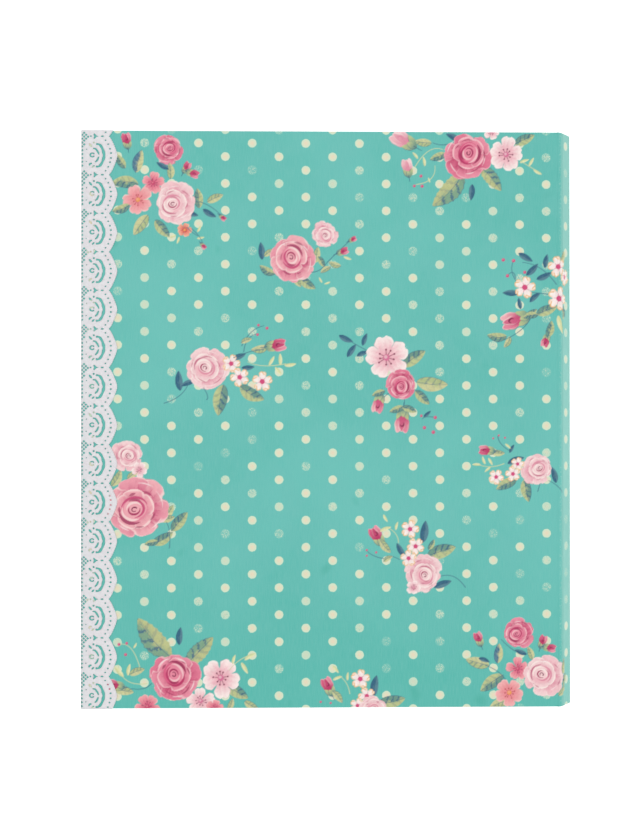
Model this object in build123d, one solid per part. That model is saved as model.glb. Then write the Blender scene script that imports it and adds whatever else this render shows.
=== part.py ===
# Scrapbook album: an A4 four-ring album, lying closed on its back cover.
#
# A case-bound cover (greyboard panels wrapped in printed paper, lined with plain
# paper, joined by flexible hinge strips and a stiff spine) holds a riveted
# four-ring mechanism.  Eight clear page protectors, each with a card insert, hang
# on the rings.  A scalloped lace trim is glued round the front cover's fore-edge.
#
# Frame: millimetres, +Z up, +X towards the spine, +Y towards the head (top) edge.
# The origin is the middle of the footprint, on the surface the album lies on.

from build123d import *
import math
import os

# ----------------------------------------------------------------- dimensions
HEIGHT = 318.0          # cover height (head to tail)
WIDTH = 272.0           # cover + hinge zone, fore-edge to outer spine face
THICK = 42.0            # outer face of back cover to outer face of front cover
SHIFT_X = 0.2           # recentres the box, because the lace stands proud at -X

WRAP_T = 0.35           # printed wrap paper with its glue
BOARD_T = 2.2           # greyboard
TURN_IN = 15.0          # wrap folded over the board's edges
LINER_T = 0.3           # plain lining paper
LINER_INSET = 5.0       # lining paper stops short of the cover's edges
PANEL_T = WRAP_T + BOARD_T + WRAP_T + LINER_T      # 3.2 whole panel

HINGE_DX = 7.5          # a hinge strip closes over this much width ...
HINGE_DZ = 10.6         # ... and this much height (a slope of about 55 deg)
HINGE_T = 0.8           # laminated hinge strip
CREASE_GAP = 0.6        # skin stops this far from each crease line
BOARD_GAP = 3.0         # cover boards stop this far from the crease
SPINE_GAP = 2.0         # spine board stops this far from its creases

RING_X, RING_Z = 111.0, 20.0      # centre line of the rings
RING_R = 15.0           # radius to the middle of the wire
WIRE_R = 1.5            # ring wire radius
RING_Y = (-120.0, -40.0, 40.0, 120.0)   # 80 mm pitch, four-ring A4
PLATE_W = 27.0          # arched cover plate
PLATE_L = 300.0
PLATE_T = 0.8
PLATE_TOP = 8.8
PLATE_SHOULDER = 5.9
BLADE_Z0, BLADE_Z1 = 4.4, 5.4
BLADE_OUT = 12.3        # blade's outer (pivot) edge, from the ring centre line
BLADE_IN = 0.4
BLADE_L = 290.0
RIVET_Y = (-80.0, 0.0, 80.0)
LEVER_Y, LEVER_Z = 153.0, 6.0     # lever pin
LEVER_W = 12.0

LEAVES = 8
LEAF_D0 = -9.4          # lowest leaf's distance from the ring centre line
LEAF_PITCH = 2.2
LEAF_TILT0, LEAF_TILT1 = -1.55, 1.5    # fore-edge down / up, lowest to highest
SLEEVE_L, SLEEVE_W, SLEEVE_T = 301.0, 232.0, 1.2
STRIP_W, STRIP_T = 19.0, 0.5      # punched filing margin of a protector
FILM_T = 0.15
HOLE_EDGE = 10.0        # hole centre to the protector's inner edge
HOLE_D = 6.0
SLOT_EXTRA = 3.2        # holes are slots, lengthened away from the spine
CARD_L, CARD_W, CARD_T = 297.0, 210.0, 0.8

LACE_T = 0.4
LACE_PEAK, LACE_VALLEY = 20.1, 15.4    # from the fore-edge
LACE_PITCH = 21.2
LACE_TURN = 4.0         # lace folded onto the inside of the cover

X0 = -WIDTH / 2         # fore-edge
XA = WIDTH / 2 - HINGE_DX
HY = HEIGHT / 2
# outer corners of the closed cover's section: back, hinge, spine, hinge, front
F0 = (X0, 0.0)
A = (XA, 0.0)
B = (WIDTH / 2, HINGE_DZ)
C = (WIDTH / 2, THICK - HINGE_DZ)
D = (XA, THICK)
F1 = (X0, THICK)

os.makedirs("parts", exist_ok=True)
made = []


def out(name, shape):
    shape = Pos(SHIFT_X, 0, 0) * shape
    solids = shape.solids()
    result = solids[0] if len(solids) == 1 else Compound(children=list(solids))
    result.label = name
    export_step(result, "parts/" + name + ".step")
    made.append(name)


def box(x0, x1, y0, y1, z0, z1):
    return Pos((x0 + x1) / 2, (y0 + y1) / 2, (z0 + z1) / 2) * Box(x1 - x0, y1 - y0, z1 - z0)


def prism(points, y0, y1):
    """A closed section in X,Z, extruded from y0 to y1."""
    face = make_face(Polyline(*[(px, pz) for px, pz in points], close=True))
    plane = Plane(origin=(0, y1, 0), x_dir=(1, 0, 0), z_dir=(0, -1, 0))
    return extrude(plane * face, amount=y1 - y0)


def slab(p, q, gap_p, gap_q, t0, t1, y0=-HY, y1=HY):
    """A sheet along p to q, from depth t0 to t1 inside the outer surface."""
    length = math.hypot(q[0] - p[0], q[1] - p[1])
    dx, dz = (q[0] - p[0]) / length, (q[1] - p[1]) / length
    nx, nz = -dz, dx
    pts = []
    for s, t in ((gap_p, t0), (length - gap_q, t0), (length - gap_q, t1), (gap_p, t1)):
        pts.append((p[0] + dx * s + nx * t, p[1] + dz * s + nz * t))
    return prism(pts, y0, y1)


# ------------------------------------------------------------ the case (cover)
def cover_pieces(z_of):
    """Board, wrap and liner of a cover panel; z_of maps depth to height."""
    def plate(x0, x1, hy, d0, d1):
        za, zb = sorted((z_of(d0), z_of(d1)))
        return box(x0, x1, -hy, hy, za, zb)

    d_board = WRAP_T + BOARD_T
    d_turn = d_board + WRAP_T
    x_board = XA - BOARD_GAP
    board = plate(X0 + WRAP_T, x_board, HY - WRAP_T, WRAP_T, d_board)
    wrap = plate(X0, XA - CREASE_GAP, HY, 0, WRAP_T)
    frame = plate(X0, x_board, HY, 0, d_turn)
    frame -= plate(X0 + WRAP_T, x_board, HY - WRAP_T, WRAP_T, d_board)
    frame -= plate(X0 + TURN_IN, x_board, HY - TURN_IN, WRAP_T, d_turn)
    wrap = wrap + frame
    liner = plate(X0 + LINER_INSET, x_board, HY - LINER_INSET, d_turn, d_turn + LINER_T)
    liner += plate(X0 + TURN_IN, x_board, HY - TURN_IN, d_board, d_turn)
    return board, wrap, liner


front_board, front_wrap, front_liner = cover_pieces(lambda d: THICK - d)
back_board, back_wrap, back_liner = cover_pieces(lambda d: d)

# countersunk rivet holes through the back cover
for y in RIVET_Y:
    head = Pos(RING_X, y, 0.4) * Cylinder(4.5, 0.8)
    hole = Pos(RING_X, y, 2) * Cylinder(2.0, 8)
    back_wrap -= head + hole
    back_board -= head + hole
    back_liner -= hole

spine_len = C[1] - B[1]
d_board = WRAP_T + BOARD_T
d_turn = d_board + WRAP_T
spine_board = slab(B, C, SPINE_GAP, SPINE_GAP, WRAP_T, d_board, -HY + WRAP_T, HY - WRAP_T)
spine_wrap = slab(B, C, CREASE_GAP, CREASE_GAP, 0, WRAP_T)
for s in (-1, 1):
    y_out, y_in, y_turn = s * HY, s * (HY - WRAP_T), s * (HY - TURN_IN)
    a, b = sorted((y_out, y_in))
    spine_wrap += slab(B, C, SPINE_GAP, SPINE_GAP, 0, d_turn, a, b)
    a, b = sorted((y_out, y_turn))
    spine_wrap += slab(B, C, SPINE_GAP, SPINE_GAP, d_board, d_turn, a, b)
spine_liner = slab(B, C, SPINE_GAP, SPINE_GAP, d_turn, d_turn + LINER_T,
                   -HY + LINER_INSET, HY - LINER_INSET)
spine_liner += slab(B, C, SPINE_GAP, SPINE_GAP, d_board, d_turn, -HY + TURN_IN, HY - TURN_IN)

back_hinge = slab(A, B, CREASE_GAP, CREASE_GAP, 0, HINGE_T)
front_hinge = slab(C, D, CREASE_GAP, CREASE_GAP, 0, HINGE_T)

# ------------------------------------------------------------------- the lace
# scalloped band on the outer face, over the fore-edge, and a short turn inside
scallops = 15
start_y = -LACE_PITCH * scallops / 2
lines = []
pts = [(X0 - LACE_T / 2, -HY), (X0 + LACE_VALLEY, -HY)]
outline = [Line(pts[0], (X0 + LACE_VALLEY, -HY))]
outline = []
p_prev = (X0 + LACE_VALLEY, start_y)
outline.append(Line((X0, -HY), (X0 + LACE_VALLEY, -HY)))
if start_y > -HY + 1e-6:
    outline.append(Line((X0 + LACE_VALLEY, -HY), p_prev))
for i in range(scallops):
    y0 = start_y + i * LACE_PITCH
    p_next = (X0 + LACE_VALLEY, y0 + LACE_PITCH)
    outline.append(ThreePointArc(p_prev, (X0 + LACE_PEAK, y0 + LACE_PITCH / 2), p_next))
    p_prev = p_next
if p_prev[1] < HY - 1e-6:
    outline.append(Line(p_prev, (X0 + LACE_VALLEY, HY)))
outline.append(Line((X0 + LACE_VALLEY, HY), (X0, HY)))
outline.append(Line((X0, HY), (X0, -HY)))
lace_face = make_face(outline)
lace_trim = Pos(0, 0, THICK) * extrude(lace_face, amount=LACE_T)
lace_trim += box(X0 - LACE_T, X0, -HY, HY, THICK - d_turn - LINER_T, THICK + LACE_T)
lace_trim += box(X0 - LACE_T, X0 + LACE_TURN, -HY, HY, THICK - d_turn - LINER_T, THICK - d_turn)

# ----------------------------------------------------------- ring mechanism
hw = PLATE_W / 2


def arch(half, z_foot, z_sh, z_top):
    """Half-round topped channel section, as a face in X,Z about RING_X."""
    left, right = RING_X - half, RING_X + half
    edges = [
        Line((left, z_foot), (left, z_sh)),
        ThreePointArc((left, z_sh), (RING_X, z_top), (right, z_sh)),
        Line((right, z_sh), (right, z_foot)),
        Line((right, z_foot), (left, z_foot)),
    ]
    return make_face(edges)


def along_y(face, y0, y1):
    plane = Plane(origin=(0, y1, 0), x_dir=(1, 0, 0), z_dir=(0, -1, 0))
    return extrude(plane * face, amount=y1 - y0)


ring_cover_plate = along_y(arch(hw, PANEL_T, PLATE_SHOULDER, PLATE_TOP), -PLATE_L / 2, PLATE_L / 2)
ring_cover_plate -= along_y(
    arch(hw - PLATE_T, PANEL_T, PLATE_SHOULDER - 0.3, PLATE_TOP - PLATE_T),
    -PLATE_L / 2 - 1, PLATE_L / 2 + 1)
for y in RING_Y:
    for s in (-1, 1):
        xa, xb = sorted((RING_X + s * 7.4, RING_X + s * 14.5))
        ring_cover_plate -= box(xa, xb, y - 2.6, y + 2.6, PLATE_SHOULDER - 0.6, PLATE_TOP + 1)
for y in RIVET_Y:
    ring_cover_plate -= Pos(RING_X, y, PLATE_TOP) * Cylinder(2.0, 4)
# ears that carry the lever pins at each end
for sy in (-1, 1):
    for sx in (-1, 1):
        xa, xb = sorted((RING_X + sx * 6.6, RING_X + sx * 7.8))
        ya, yb = sorted((sy * (PLATE_L / 2 - 4), sy * 156.0))
        ear = box(xa, xb, ya, yb, PANEL_T, 7.6)
        ear -= Pos(RING_X, sy * LEVER_Y, LEVER_Z) * Rot(0, 90, 0) * Cylinder(1.0, 40)
        ring_cover_plate += ear

mechanism_rivets = []
for y in RIVET_Y:
    rivet = Pos(RING_X, y, 0.4) * Cylinder(4.5, 0.8)
    rivet += Pos(RING_X, y, (0.8 + PLATE_TOP) / 2) * Cylinder(2.0, PLATE_TOP - 0.8)
    rivet += Pos(RING_X, y, PLATE_TOP + 0.25) * Cylinder(3.6, 0.5)
    # drawn hollow eyelet mouth
    rivet -= Pos(RING_X, y, PLATE_TOP) * Cylinder(1.1, 6)
    mechanism_rivets.append(rivet)
mechanism_rivets = Compound(children=mechanism_rivets)


def ring_side(s):
    """Blade and four half rings on one side: s = -1 fore, +1 spine."""
    xa, xb = sorted((RING_X + s * BLADE_OUT, RING_X + s * BLADE_IN))
    blade = box(xa, xb, -BLADE_L / 2, BLADE_L / 2, BLADE_Z0, BLADE_Z1)
    for y in RIVET_Y:
        blade -= Pos(RING_X, y, 5) * Cylinder(3.6, 6)
    halves = []
    for y in RING_Y:
        a0, a1 = math.radians(90), math.radians(90 - s * 135)
        top = (RING_X, RING_Z + RING_R)
        mid_a = (a0 + a1) / 2
        mid = (RING_X + RING_R * math.cos(mid_a), RING_Z + RING_R * math.sin(mid_a))
        end = (RING_X + RING_R * math.cos(a1), RING_Z + RING_R * math.sin(a1))
        plane = Plane(origin=(0, y, 0), x_dir=(1, 0, 0), z_dir=(0, -1, 0))
        path = plane * ThreePointArc(top, mid, end)
        start = Plane(origin=(RING_X, y, RING_Z + RING_R), x_dir=(0, 1, 0), z_dir=(s, 0, 0))
        wire = sweep(start * Circle(WIRE_R), path=path)
        foot_h = end[1] - BLADE_Z1
        foot = Pos(end[0], y, BLADE_Z1 + foot_h / 2) * Cylinder(WIRE_R, foot_h)
        knee = Pos(end[0], y, end[1]) * Sphere(WIRE_R)
        halves.append(wire + knee + foot)
    return blade, Compound(children=halves)


fore_blade, fore_ring_halves = ring_side(-1)
spine_side_blade, spine_side_ring_halves = ring_side(1)

# trigger levers at the head and tail of the mechanism
def lever(sy):
    hx = LEVER_W / 2
    # side view in Y,Z: barrel round the pin, thumb tab up, short tongue inwards
    body = Pos(RING_X, sy * LEVER_Y, LEVER_Z) * Rot(0, 90, 0) * Cylinder(2.1, LEVER_W)
    ya, yb = sorted((sy * (LEVER_Y - 0.9), sy * (LEVER_Y + 0.9)))
    body += box(RING_X - hx, RING_X + hx, ya, yb, LEVER_Z, 16.0)
    tip = Pos(RING_X, sy * LEVER_Y, 16.0) * Rot(0, 90, 0) * Cylinder(1.3, LEVER_W)
    body += tip
    ya, yb = sorted((sy * (LEVER_Y - 5.6), sy * LEVER_Y))
    body += box(RING_X - 4, RING_X + 4, ya, yb, LEVER_Z - 1.9, LEVER_Z - 0.9)
    body -= Pos(RING_X, sy * LEVER_Y, LEVER_Z) * Rot(0, 90, 0) * Cylinder(1.12, LEVER_W + 4)
    return body


head_lever = lever(1)
tail_lever = lever(-1)
lever_pins = []
for sy in (-1, 1):
    lever_pins.append(Pos(RING_X, sy * LEVER_Y, LEVER_Z) * Rot(0, 90, 0) * Cylinder(1.0, 16.4))
lever_pins = Compound(children=lever_pins)

# ------------------------------------------------------------------- leaves
leaves = []
for k in range(LEAVES):
    d = LEAF_D0 + k * LEAF_PITCH
    tilt = LEAF_TILT0 + (LEAF_TILT1 - LEAF_TILT0) * k / (LEAVES - 1)
    u_hole = math.sqrt(RING_R ** 2 - d ** 2)
    u_in = u_hole - HOLE_EDGE           # inner edge, from the ring centre line
    u_out = u_in + SLEEVE_W
    # modelled level, at the ring centre line, then turned about it
    pouch = box(-u_out, -(u_in + STRIP_W), -SLEEVE_L / 2, SLEEVE_L / 2, d - SLEEVE_T / 2, d + SLEEVE_T / 2)
    pouch -= box(-(u_out - 1.0), -(u_in + STRIP_W + 1.0), -SLEEVE_L / 2 + 1.2, SLEEVE_L / 2 + 1,
                 d - SLEEVE_T / 2 + FILM_T, d + SLEEVE_T / 2 - FILM_T)
    strip = box(-(u_in + STRIP_W + 0.5), -u_in, -SLEEVE_L / 2, SLEEVE_L / 2, d - STRIP_T / 2, d + STRIP_T / 2)
    for y in RING_Y:
        strip -= Pos(-u_hole, y, d) * Cylinder(HOLE_D / 2, 3)
        strip -= box(-(u_hole + SLOT_EXTRA), -u_hole, y - HOLE_D / 2, y + HOLE_D / 2, d - 2, d + 2)
        strip -= Pos(-(u_hole + SLOT_EXTRA), y, d) * Cylinder(HOLE_D / 2, 3)
    protector = pouch + strip
    c_in = u_in + STRIP_W + 1.6
    card = box(-(c_in + CARD_W), -c_in, -CARD_L / 2 + 0.3, CARD_L / 2 + 0.3, d - CARD_T / 2, d + CARD_T / 2)
    place = Pos(RING_X, 0, RING_Z) * Rot(0, tilt, 0)
    leaves.append((place * protector, place * card))

# ------------------------------------------------------------------- export
out("front_board", front_board)
out("front_wrap", front_wrap)
out("front_liner", front_liner)
out("lace_trim", lace_trim)
out("front_hinge", front_hinge)
out("spine_board", spine_board)
out("spine_wrap", spine_wrap)
out("spine_liner", spine_liner)
out("back_hinge", back_hinge)
out("back_board", back_board)
out("back_wrap", back_wrap)
out("back_liner", back_liner)
out("ring_cover_plate", ring_cover_plate)
out("mechanism_rivets", mechanism_rivets)
out("fore_blade", fore_blade)
out("fore_ring_halves", fore_ring_halves)
out("spine_side_blade", spine_side_blade)
out("spine_side_ring_halves", spine_side_ring_halves)
out("head_lever", head_lever)
out("tail_lever", tail_lever)
out("lever_pins", lever_pins)
for k, (protector, card) in enumerate(leaves, start=1):
    out("page_protector_%d" % k, protector)
    out("page_insert_%d" % k, card)
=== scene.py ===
import bpy, bmesh, math
import numpy as np
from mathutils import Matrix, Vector
from mathutils.geometry import delaunay_2d_cdt


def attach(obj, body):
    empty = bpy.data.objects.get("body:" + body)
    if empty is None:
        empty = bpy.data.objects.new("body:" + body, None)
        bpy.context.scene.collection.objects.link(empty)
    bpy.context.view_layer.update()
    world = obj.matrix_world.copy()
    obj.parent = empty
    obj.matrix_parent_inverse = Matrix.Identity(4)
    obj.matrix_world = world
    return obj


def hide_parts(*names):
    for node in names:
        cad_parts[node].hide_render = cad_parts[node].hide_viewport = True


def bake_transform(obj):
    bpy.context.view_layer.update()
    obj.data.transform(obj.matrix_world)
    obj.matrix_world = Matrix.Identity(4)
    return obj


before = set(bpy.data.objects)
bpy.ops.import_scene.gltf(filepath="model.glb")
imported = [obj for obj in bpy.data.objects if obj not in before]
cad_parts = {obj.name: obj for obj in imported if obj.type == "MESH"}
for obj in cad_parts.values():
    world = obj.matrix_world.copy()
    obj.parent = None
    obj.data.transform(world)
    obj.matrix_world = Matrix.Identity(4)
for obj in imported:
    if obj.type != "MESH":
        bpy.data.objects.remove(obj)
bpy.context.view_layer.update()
MM = 0.001

# The cover sheet, unfolded: u runs across the front (equal to X there), over the rounded
# back strips and the flat spine, and on across the back; v equals Y on the flat faces.
XE, YE = -135.8, 159.0            # fore-edge and head/tail edges of the case, mm
XA, XB = 128.7, 136.2             # the outer creases beside the covers, and the spine face
Z_TOP, ZC, ZB = 42.0, 31.4, 10.6  # top face and the two spine creases
CUT = 1.8                         # the paper bends over this far each side of a crease
STRIP = math.hypot(XB - XA, Z_TOP - ZC)
U_D = XA
U_C = U_D + STRIP
U_B = U_C + (ZC - ZB)
U_A = U_B + STRIP
SPRAYS = [
    ("B",-110.9,152.3,3.9,100,"d"), ("R",-88.5,148.9,8.5,20,"d"), ("B",-78.7,137.9,3.0,60,"d"), 
    ("B",-75.7,135.7,3.3,-20,"d"), ("L",-114.7,142.0,8.3,125,"1"), ("L",-104.4,142.0,11.0,75,"4"), 
    ("L",-112.1,129.7,12.7,178,"1"), ("L",-87.3,136.8,7.7,95,"0"), ("L",-91.4,139.6,6.6,150,"2"), 
    ("F",-96.6,130.1,6.3,10,"c"), ("F",-104.9,120.8,8.0,40,"o"), ("L",-114.2,116.1,8.8,200,"1"), 
    ("L",-103.3,106.8,11.6,235,"0"), ("L",-91.4,104.9,10.5,-50,"1"), ("L",-71.8,121.7,9.4,95,"1"), 
    ("L",-62.4,121.7,8.3,25,"0"), ("L",-65.5,113.5,7.2,-30,"2"), ("L",-75.4,113.1,6.6,-15,"2"), 
    ("R",-84.2,119.2,11.3,200,"p"), ("B",-58.8,111.4,2.0,-40,"d"), ("F",-79.2,104.2,4.1,0,"y"), 
    ("L",-71.2,104.9,3.9,60,"3"), ("L",-70.4,99.9,3.9,10,"3"), ("L",-82.8,98.5,3.9,250,"3"), 
    ("L",-85.9,100.5,3.9,200,"3"), ("B",-69.4,95.8,1.9,-50,"d"), ("S",[-72.1,101.0,-75.4,103.2,-77.6,105.4],1), 
    ("S",[-69.4,97.2,-71.5,101.0,-75.4,104.9],1), ("S",[-59.4,112.6,-64.9,117.0,-71.0,119.8],1), 
    ("L",-37.0,92.8,8.3,95,"2"), ("L",-33.8,82.3,8.3,150,"1"), ("L",-32.4,91.7,6.1,30,"0"), 
    ("L",-11.6,75.1,9.4,-35,"1"), ("L",-17.0,76.2,6.6,-60,"0"), ("L",-6.5,90.7,7.7,80,"0"), 
    ("L",-3.8,86.7,6.1,-60,"1"), ("R",-19.9,87.6,12.7,110,"m"), ("R",-2.3,102.1,7.2,300,"p"), 
    ("B",12.8,98.9,2.1,25,"d"), ("B",7.1,92.2,3.0,20,"d"), ("L",3.5,85.6,6.1,160,"0"), 
    ("L",10.6,88.9,4.4,-20,"3"), ("L",-1.6,82.3,5.5,210,"0"), ("L",-0.7,75.1,3.3,200,"3"), 
    ("L",-4.3,76.8,3.3,120,"3"), ("S",[11.7,98.3,6.2,93.3,-0.5,86.7],1), ("S",[-0.5,86.7,-4.9,82.3,-9.3,81.2],1), 
    ("L",52.2,153.1,8.3,175,"0"), ("B",42.9,153.4,6.6,150,"w"), ("L",69.0,155.6,7.7,150,"2"), 
    ("S",[63.5,149.0,55.7,148.4,48.0,139.6],0), ("S",[59.0,140.1,56.8,133.0,48.6,129.7],0), 
    ("S",[57.9,152.8,62.4,151.7,66.8,152.3],1), ("B",43.9,137.8,4.4,100,"w"), ("L",52.9,142.5,5.0,100,"3"), 
    ("L",48.0,145.7,4.4,130,"3"), ("L",60.7,145.1,8.3,200,"1"), ("L",55.7,132.2,2.8,110,"3"), 
    ("L",108.7,154.8,10.5,25,"1"), ("L",66.2,126.9,21.5,227,"5"), ("L",90.1,133.0,14.9,-50,"5"), 
    ("L",79.2,125.4,7.7,-95,"2"), ("P",51.2,134.4,0.83), ("P",47.5,128.9,0.77), ("P",51.8,128.8,0.88), 
    ("R",77.1,145.4,12.9,75,"d"), ("F",98.4,146.5,9.6,80,"w"), ("L",108.6,142.9,5.0,20,"3"), 
    ("L",112.4,142.5,5.0,60,"3"), ("L",116.0,136.8,5.0,-30,"3"), ("S",[106.4,142.9,111.9,139.6,117.5,136.3],0), 
    ("F",90.5,158.9,4.4,0,"w"), ("L",112.9,82.8,7.7,45,"2"), ("L",119.4,79.3,7.7,25,"2"), 
    ("L",109.2,89.5,7.7,-30,"2"), ("L",120.6,87.5,6.6,80,"2"), ("L",100.9,69.9,7.7,180,"2"), 
    ("L",114.4,67.3,6.6,40,"2"), ("L",121.0,60.3,10.5,20,"1"), ("L",112.4,58.6,6.6,35,"1"), 
    ("L",129.0,52.3,9.9,-70,"3"), ("L",131.8,59.1,6.6,-80,"1"), ("L",105.9,64.1,5.5,100,"2"), 
    ("L",93.2,46.0,9.4,175,"1"), ("L",98.9,42.6,6.1,-120,"0"), ("L",131.2,90.0,7.7,60,"0"), 
    ("S",[101.5,70.7,111.9,70.2,121.9,69.1],1), ("S",[107.5,86.7,117.5,83.4,126.3,74.6],1), 
    ("S",[97.1,43.7,106.4,49.2,111.9,55.8],1), ("S",[102.5,87.7,101.5,82.3,103.7,76.8],1), 
    ("S",[99.1,79.3,102.0,81.2,103.7,77.9],1), ("P",96.8,88.1,0.94), ("P",102.5,87.7,0.94), 
    ("P",108.7,81.3,0.88), ("P",99.1,79.3,0.94), ("W",108.7,72.9,6.3,5), ("W",127.4,84.4,6.1,30), 
    ("W",133.7,79.0,5.0,50), ("W",127.9,66.8,6.9,70), ("B",105.1,55.4,6.9,195,"m"), ("L",111.9,56.9,7.2,190,"1"), 
    ("B",120.6,44.3,3.3,-110,"d"), ("L",122.4,49.8,8.3,75,"1"), ("L",-82.1,21.2,9.4,95,"2"), 
    ("L",-77.6,19.5,6.6,200,"2"), ("L",-59.3,10.4,14.9,-100,"1"), ("L",-42.1,14.5,13.2,-30,"1"), 
    ("L",-49.5,34.6,7.2,20,"2"), ("L",-44.3,28.5,6.1,5,"2"), ("R",-66.6,27.5,11.3,150,"p"), 
    ("S",[-77.1,19.5,-82.0,12.9,-90.4,8.8],1), ("S",[-68.8,17.3,-66.6,12.9,-67.1,10.7],1), 
    ("L",-38.0,39.0,8.3,190,"0"), ("B",-30.3,40.4,5.0,8,"d"), ("W",-53.6,30.6,5.2,0), ("W",-48.9,23.1,5.5,40), 
    ("W",-36.5,20.7,5.8,15), ("S",[-35.7,51.4,-42.3,48.1,-47.8,40.4],1), 
    ("S",[-39.6,47.0,-44.5,43.7,-46.7,37.1],1), ("S",[-35.7,38.2,-43.4,37.1,-52.3,33.8],1), 
    ("P",-38.6,51.8,0.72), ("P",-33.9,50.2,0.83), ("P",-39.1,46.6,0.77), ("L",-45.1,43.2,5.5,20,"0"), 
    ("L",-31.3,32.2,5.5,60,"3"), ("L",-26.6,33.0,6.1,92,"3"), ("L",-21.0,30.1,6.1,8,"3"), 
    ("L",-27.7,26.6,5.0,-50,"3"), ("S",[-44.5,31.6,-35.7,29.4,-23.6,30.5],0), ("L",9.7,44.4,7.2,-25,"2"), 
    ("L",20.1,44.0,6.1,70,"2"), ("L",12.8,37.8,7.2,55,"2"), ("L",19.0,36.0,6.1,20,"2"), 
    ("S",[8.4,45.4,15.5,41.0,23.8,36.6],1), ("L",47.5,33.5,12.7,35,"1"), ("L",57.4,19.8,14.9,-5,"0"), 
    ("L",51.9,12.0,9.4,-45,"1"), ("F",32.0,34.0,11.8,100,"w"), ("S",[34.8,15.1,31.5,12.9,29.3,10.1],1), 
    ("S",[41.4,12.9,42.0,9.6,40.9,5.2],1), ("B",27.9,9.8,4.7,-105,"m"), ("L",27.6,14.2,6.6,200,"1"), 
    ("R",40.3,19.2,8.5,260,"d"), ("B",40.9,0.5,5.8,-95,"m"), ("L",37.6,5.4,7.2,200,"1"), 
    ("L",44.7,5.4,7.2,-20,"1"), ("S",[51.9,0.2,54.6,1.3,59.0,0.9],1), ("P",59.0,0.9,0.94), ("P",53.0,-4.7,0.94), 
    ("P",57.9,-7.2,0.99), ("P",51.3,1.8,0.72), ("L",54.6,2.9,4.4,40,"2"), ("L",-116.7,-32.3,8.8,60,"0"), 
    ("L",-107.6,-30.7,6.6,35,"0"), ("L",-87.5,-51.1,7.7,60,"0"), ("L",-88.6,-54.4,7.2,10,"0"), 
    ("L",-82.0,-56.3,11.6,50,"1"), ("L",-91.2,-65.4,11.0,30,"1"), ("L",-97.4,-68.1,6.6,190,"1"), 
    ("S",[-89.2,-56.6,-87.5,-62.1,-87.5,-70.9],1), ("R",-110.9,-19.8,8.5,340,"p"), 
    ("F",-104.0,-27.9,4.4,200,"w"), ("R",-104.5,-48.8,16.0,200,"m"), ("L",109.7,-39.5,11.0,-80,"1"), 
    ("L",98.3,-36.2,10.5,205,"1"), ("L",103.7,-22.9,8.3,20,"2"), ("L",124.8,-30.9,7.7,105,"2"), 
    ("S",[121.9,-34.0,126.3,-36.7,130.1,-40.6],1), ("S",[117.5,-34.5,116.4,-37.8,115.8,-40.0],1), 
    ("R",115.5,-27.7,8.8,30,"p"), ("L",93.8,-18.5,6.6,-5,"0"), ("B",88.5,-17.4,3.9,175,"d"), 
    ("W",104.6,-24.8,3.9,0), ("W",102.0,-30.3,4.4,30), ("W",92.7,-32.0,4.4,60), ("L",81.8,-25.2,4.4,178,"3"), 
    ("L",85.9,-22.7,4.4,110,"3"), ("L",89.6,-23.5,4.4,-60,"3"), ("L",88.0,-27.9,3.9,220,"3"), 
    ("S",[83.3,-25.2,89.9,-26.3,97.1,-24.6],0), ("L",101.5,-16.3,4.4,60,"2"), 
    ("S",[100.9,-18.0,95.4,-13.6,93.8,-9.2],1), ("P",94.2,-9.0,0.55), ("P",91.1,-10.6,0.55), 
    ("P",97.6,-10.3,0.55), ("L",99.3,-15.0,3.9,-40,"3"), ("L",52.8,-62.1,10.5,82,"2"), 
    ("L",62.4,-73.1,14.3,18,"1"), ("L",56.8,-69.2,5.5,60,"1"), ("L",63.1,-91.1,8.8,20,"2"), 
    ("S",[61.3,-86.9,69.0,-86.9,75.6,-92.9],1), ("S",[39.2,-77.5,34.8,-75.8,31.5,-76.9],1), 
    ("R",52.4,-84.9,9.9,300,"p"), ("F",46.9,-92.9,3.9,220,"w"), ("L",39.8,-72.0,7.2,120,"2"), 
    ("W",45.0,-60.7,5.2,0), ("W",48.1,-70.2,5.0,50), ("W",44.2,-76.8,4.7,20), ("B",27.4,-65.6,5.0,120,"d"), 
    ("L",31.5,-70.3,7.7,-50,"0"), ("L",32.9,-77.1,5.0,30,"0"), ("L",31.5,-54.7,4.4,-60,"3"), 
    ("L",31.5,-60.7,6.1,20,"3"), ("L",37.7,-58.9,4.4,75,"3"), ("S",[32.6,-59.9,37.0,-63.2,38.7,-68.1],0), 
    ("S",[21.0,-72.5,24.9,-75.3,30.4,-76.9],1), ("P",21.1,-72.2,0.61), ("P",26.3,-73.5,0.61), 
    ("P",21.1,-75.3,0.61), ("L",-95.8,-120.2,24.2,130,"5"), ("L",-71.0,-127.4,18.2,45,"5"), 
    ("L",-81.7,-119.2,8.3,85,"2"), ("S",[-115.1,-123.8,-108.5,-126.0,-103.5,-137.0],0), 
    ("S",[-115.6,-134.8,-110.7,-143.6,-99.6,-145.3],0), ("S",[-108.5,-148.0,-101.8,-148.0,-97.4,-145.3],1), 
    ("L",-115.1,-138.5,7.2,130,"3"), ("L",-109.6,-137.6,6.1,80,"3"), ("L",-105.2,-138.7,7.7,20,"0"), 
    ("L",-106.3,-124.3,3.3,60,"3"), ("P",-115.1,-123.7,0.83), ("P",-110.9,-123.1,0.77), ("P",-111.5,-129.3,0.83), 
    ("L",-112.3,-149.1,9.4,-10,"0"), ("B",-116.2,-146.4,4.4,170,"d"), ("L",-50.3,-150.0,12.1,-30,"1"), 
    ("F",-99.5,-157.9,7.2,50,"c"), ("F",-70.3,-154.9,7.7,20,"w"), ("F",-62.7,-159.0,5.0,0,"c"), 
    ("R",-84.3,-142.1,13.5,110,"d"), ("F",-59.3,-142.2,10.7,60,"w"), ("L",-52.0,-132.2,5.0,75,"3"), 
    ("L",-46.2,-137.0,6.6,-60,"3"), ("L",-43.1,-130.7,6.6,30,"3"), 
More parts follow.
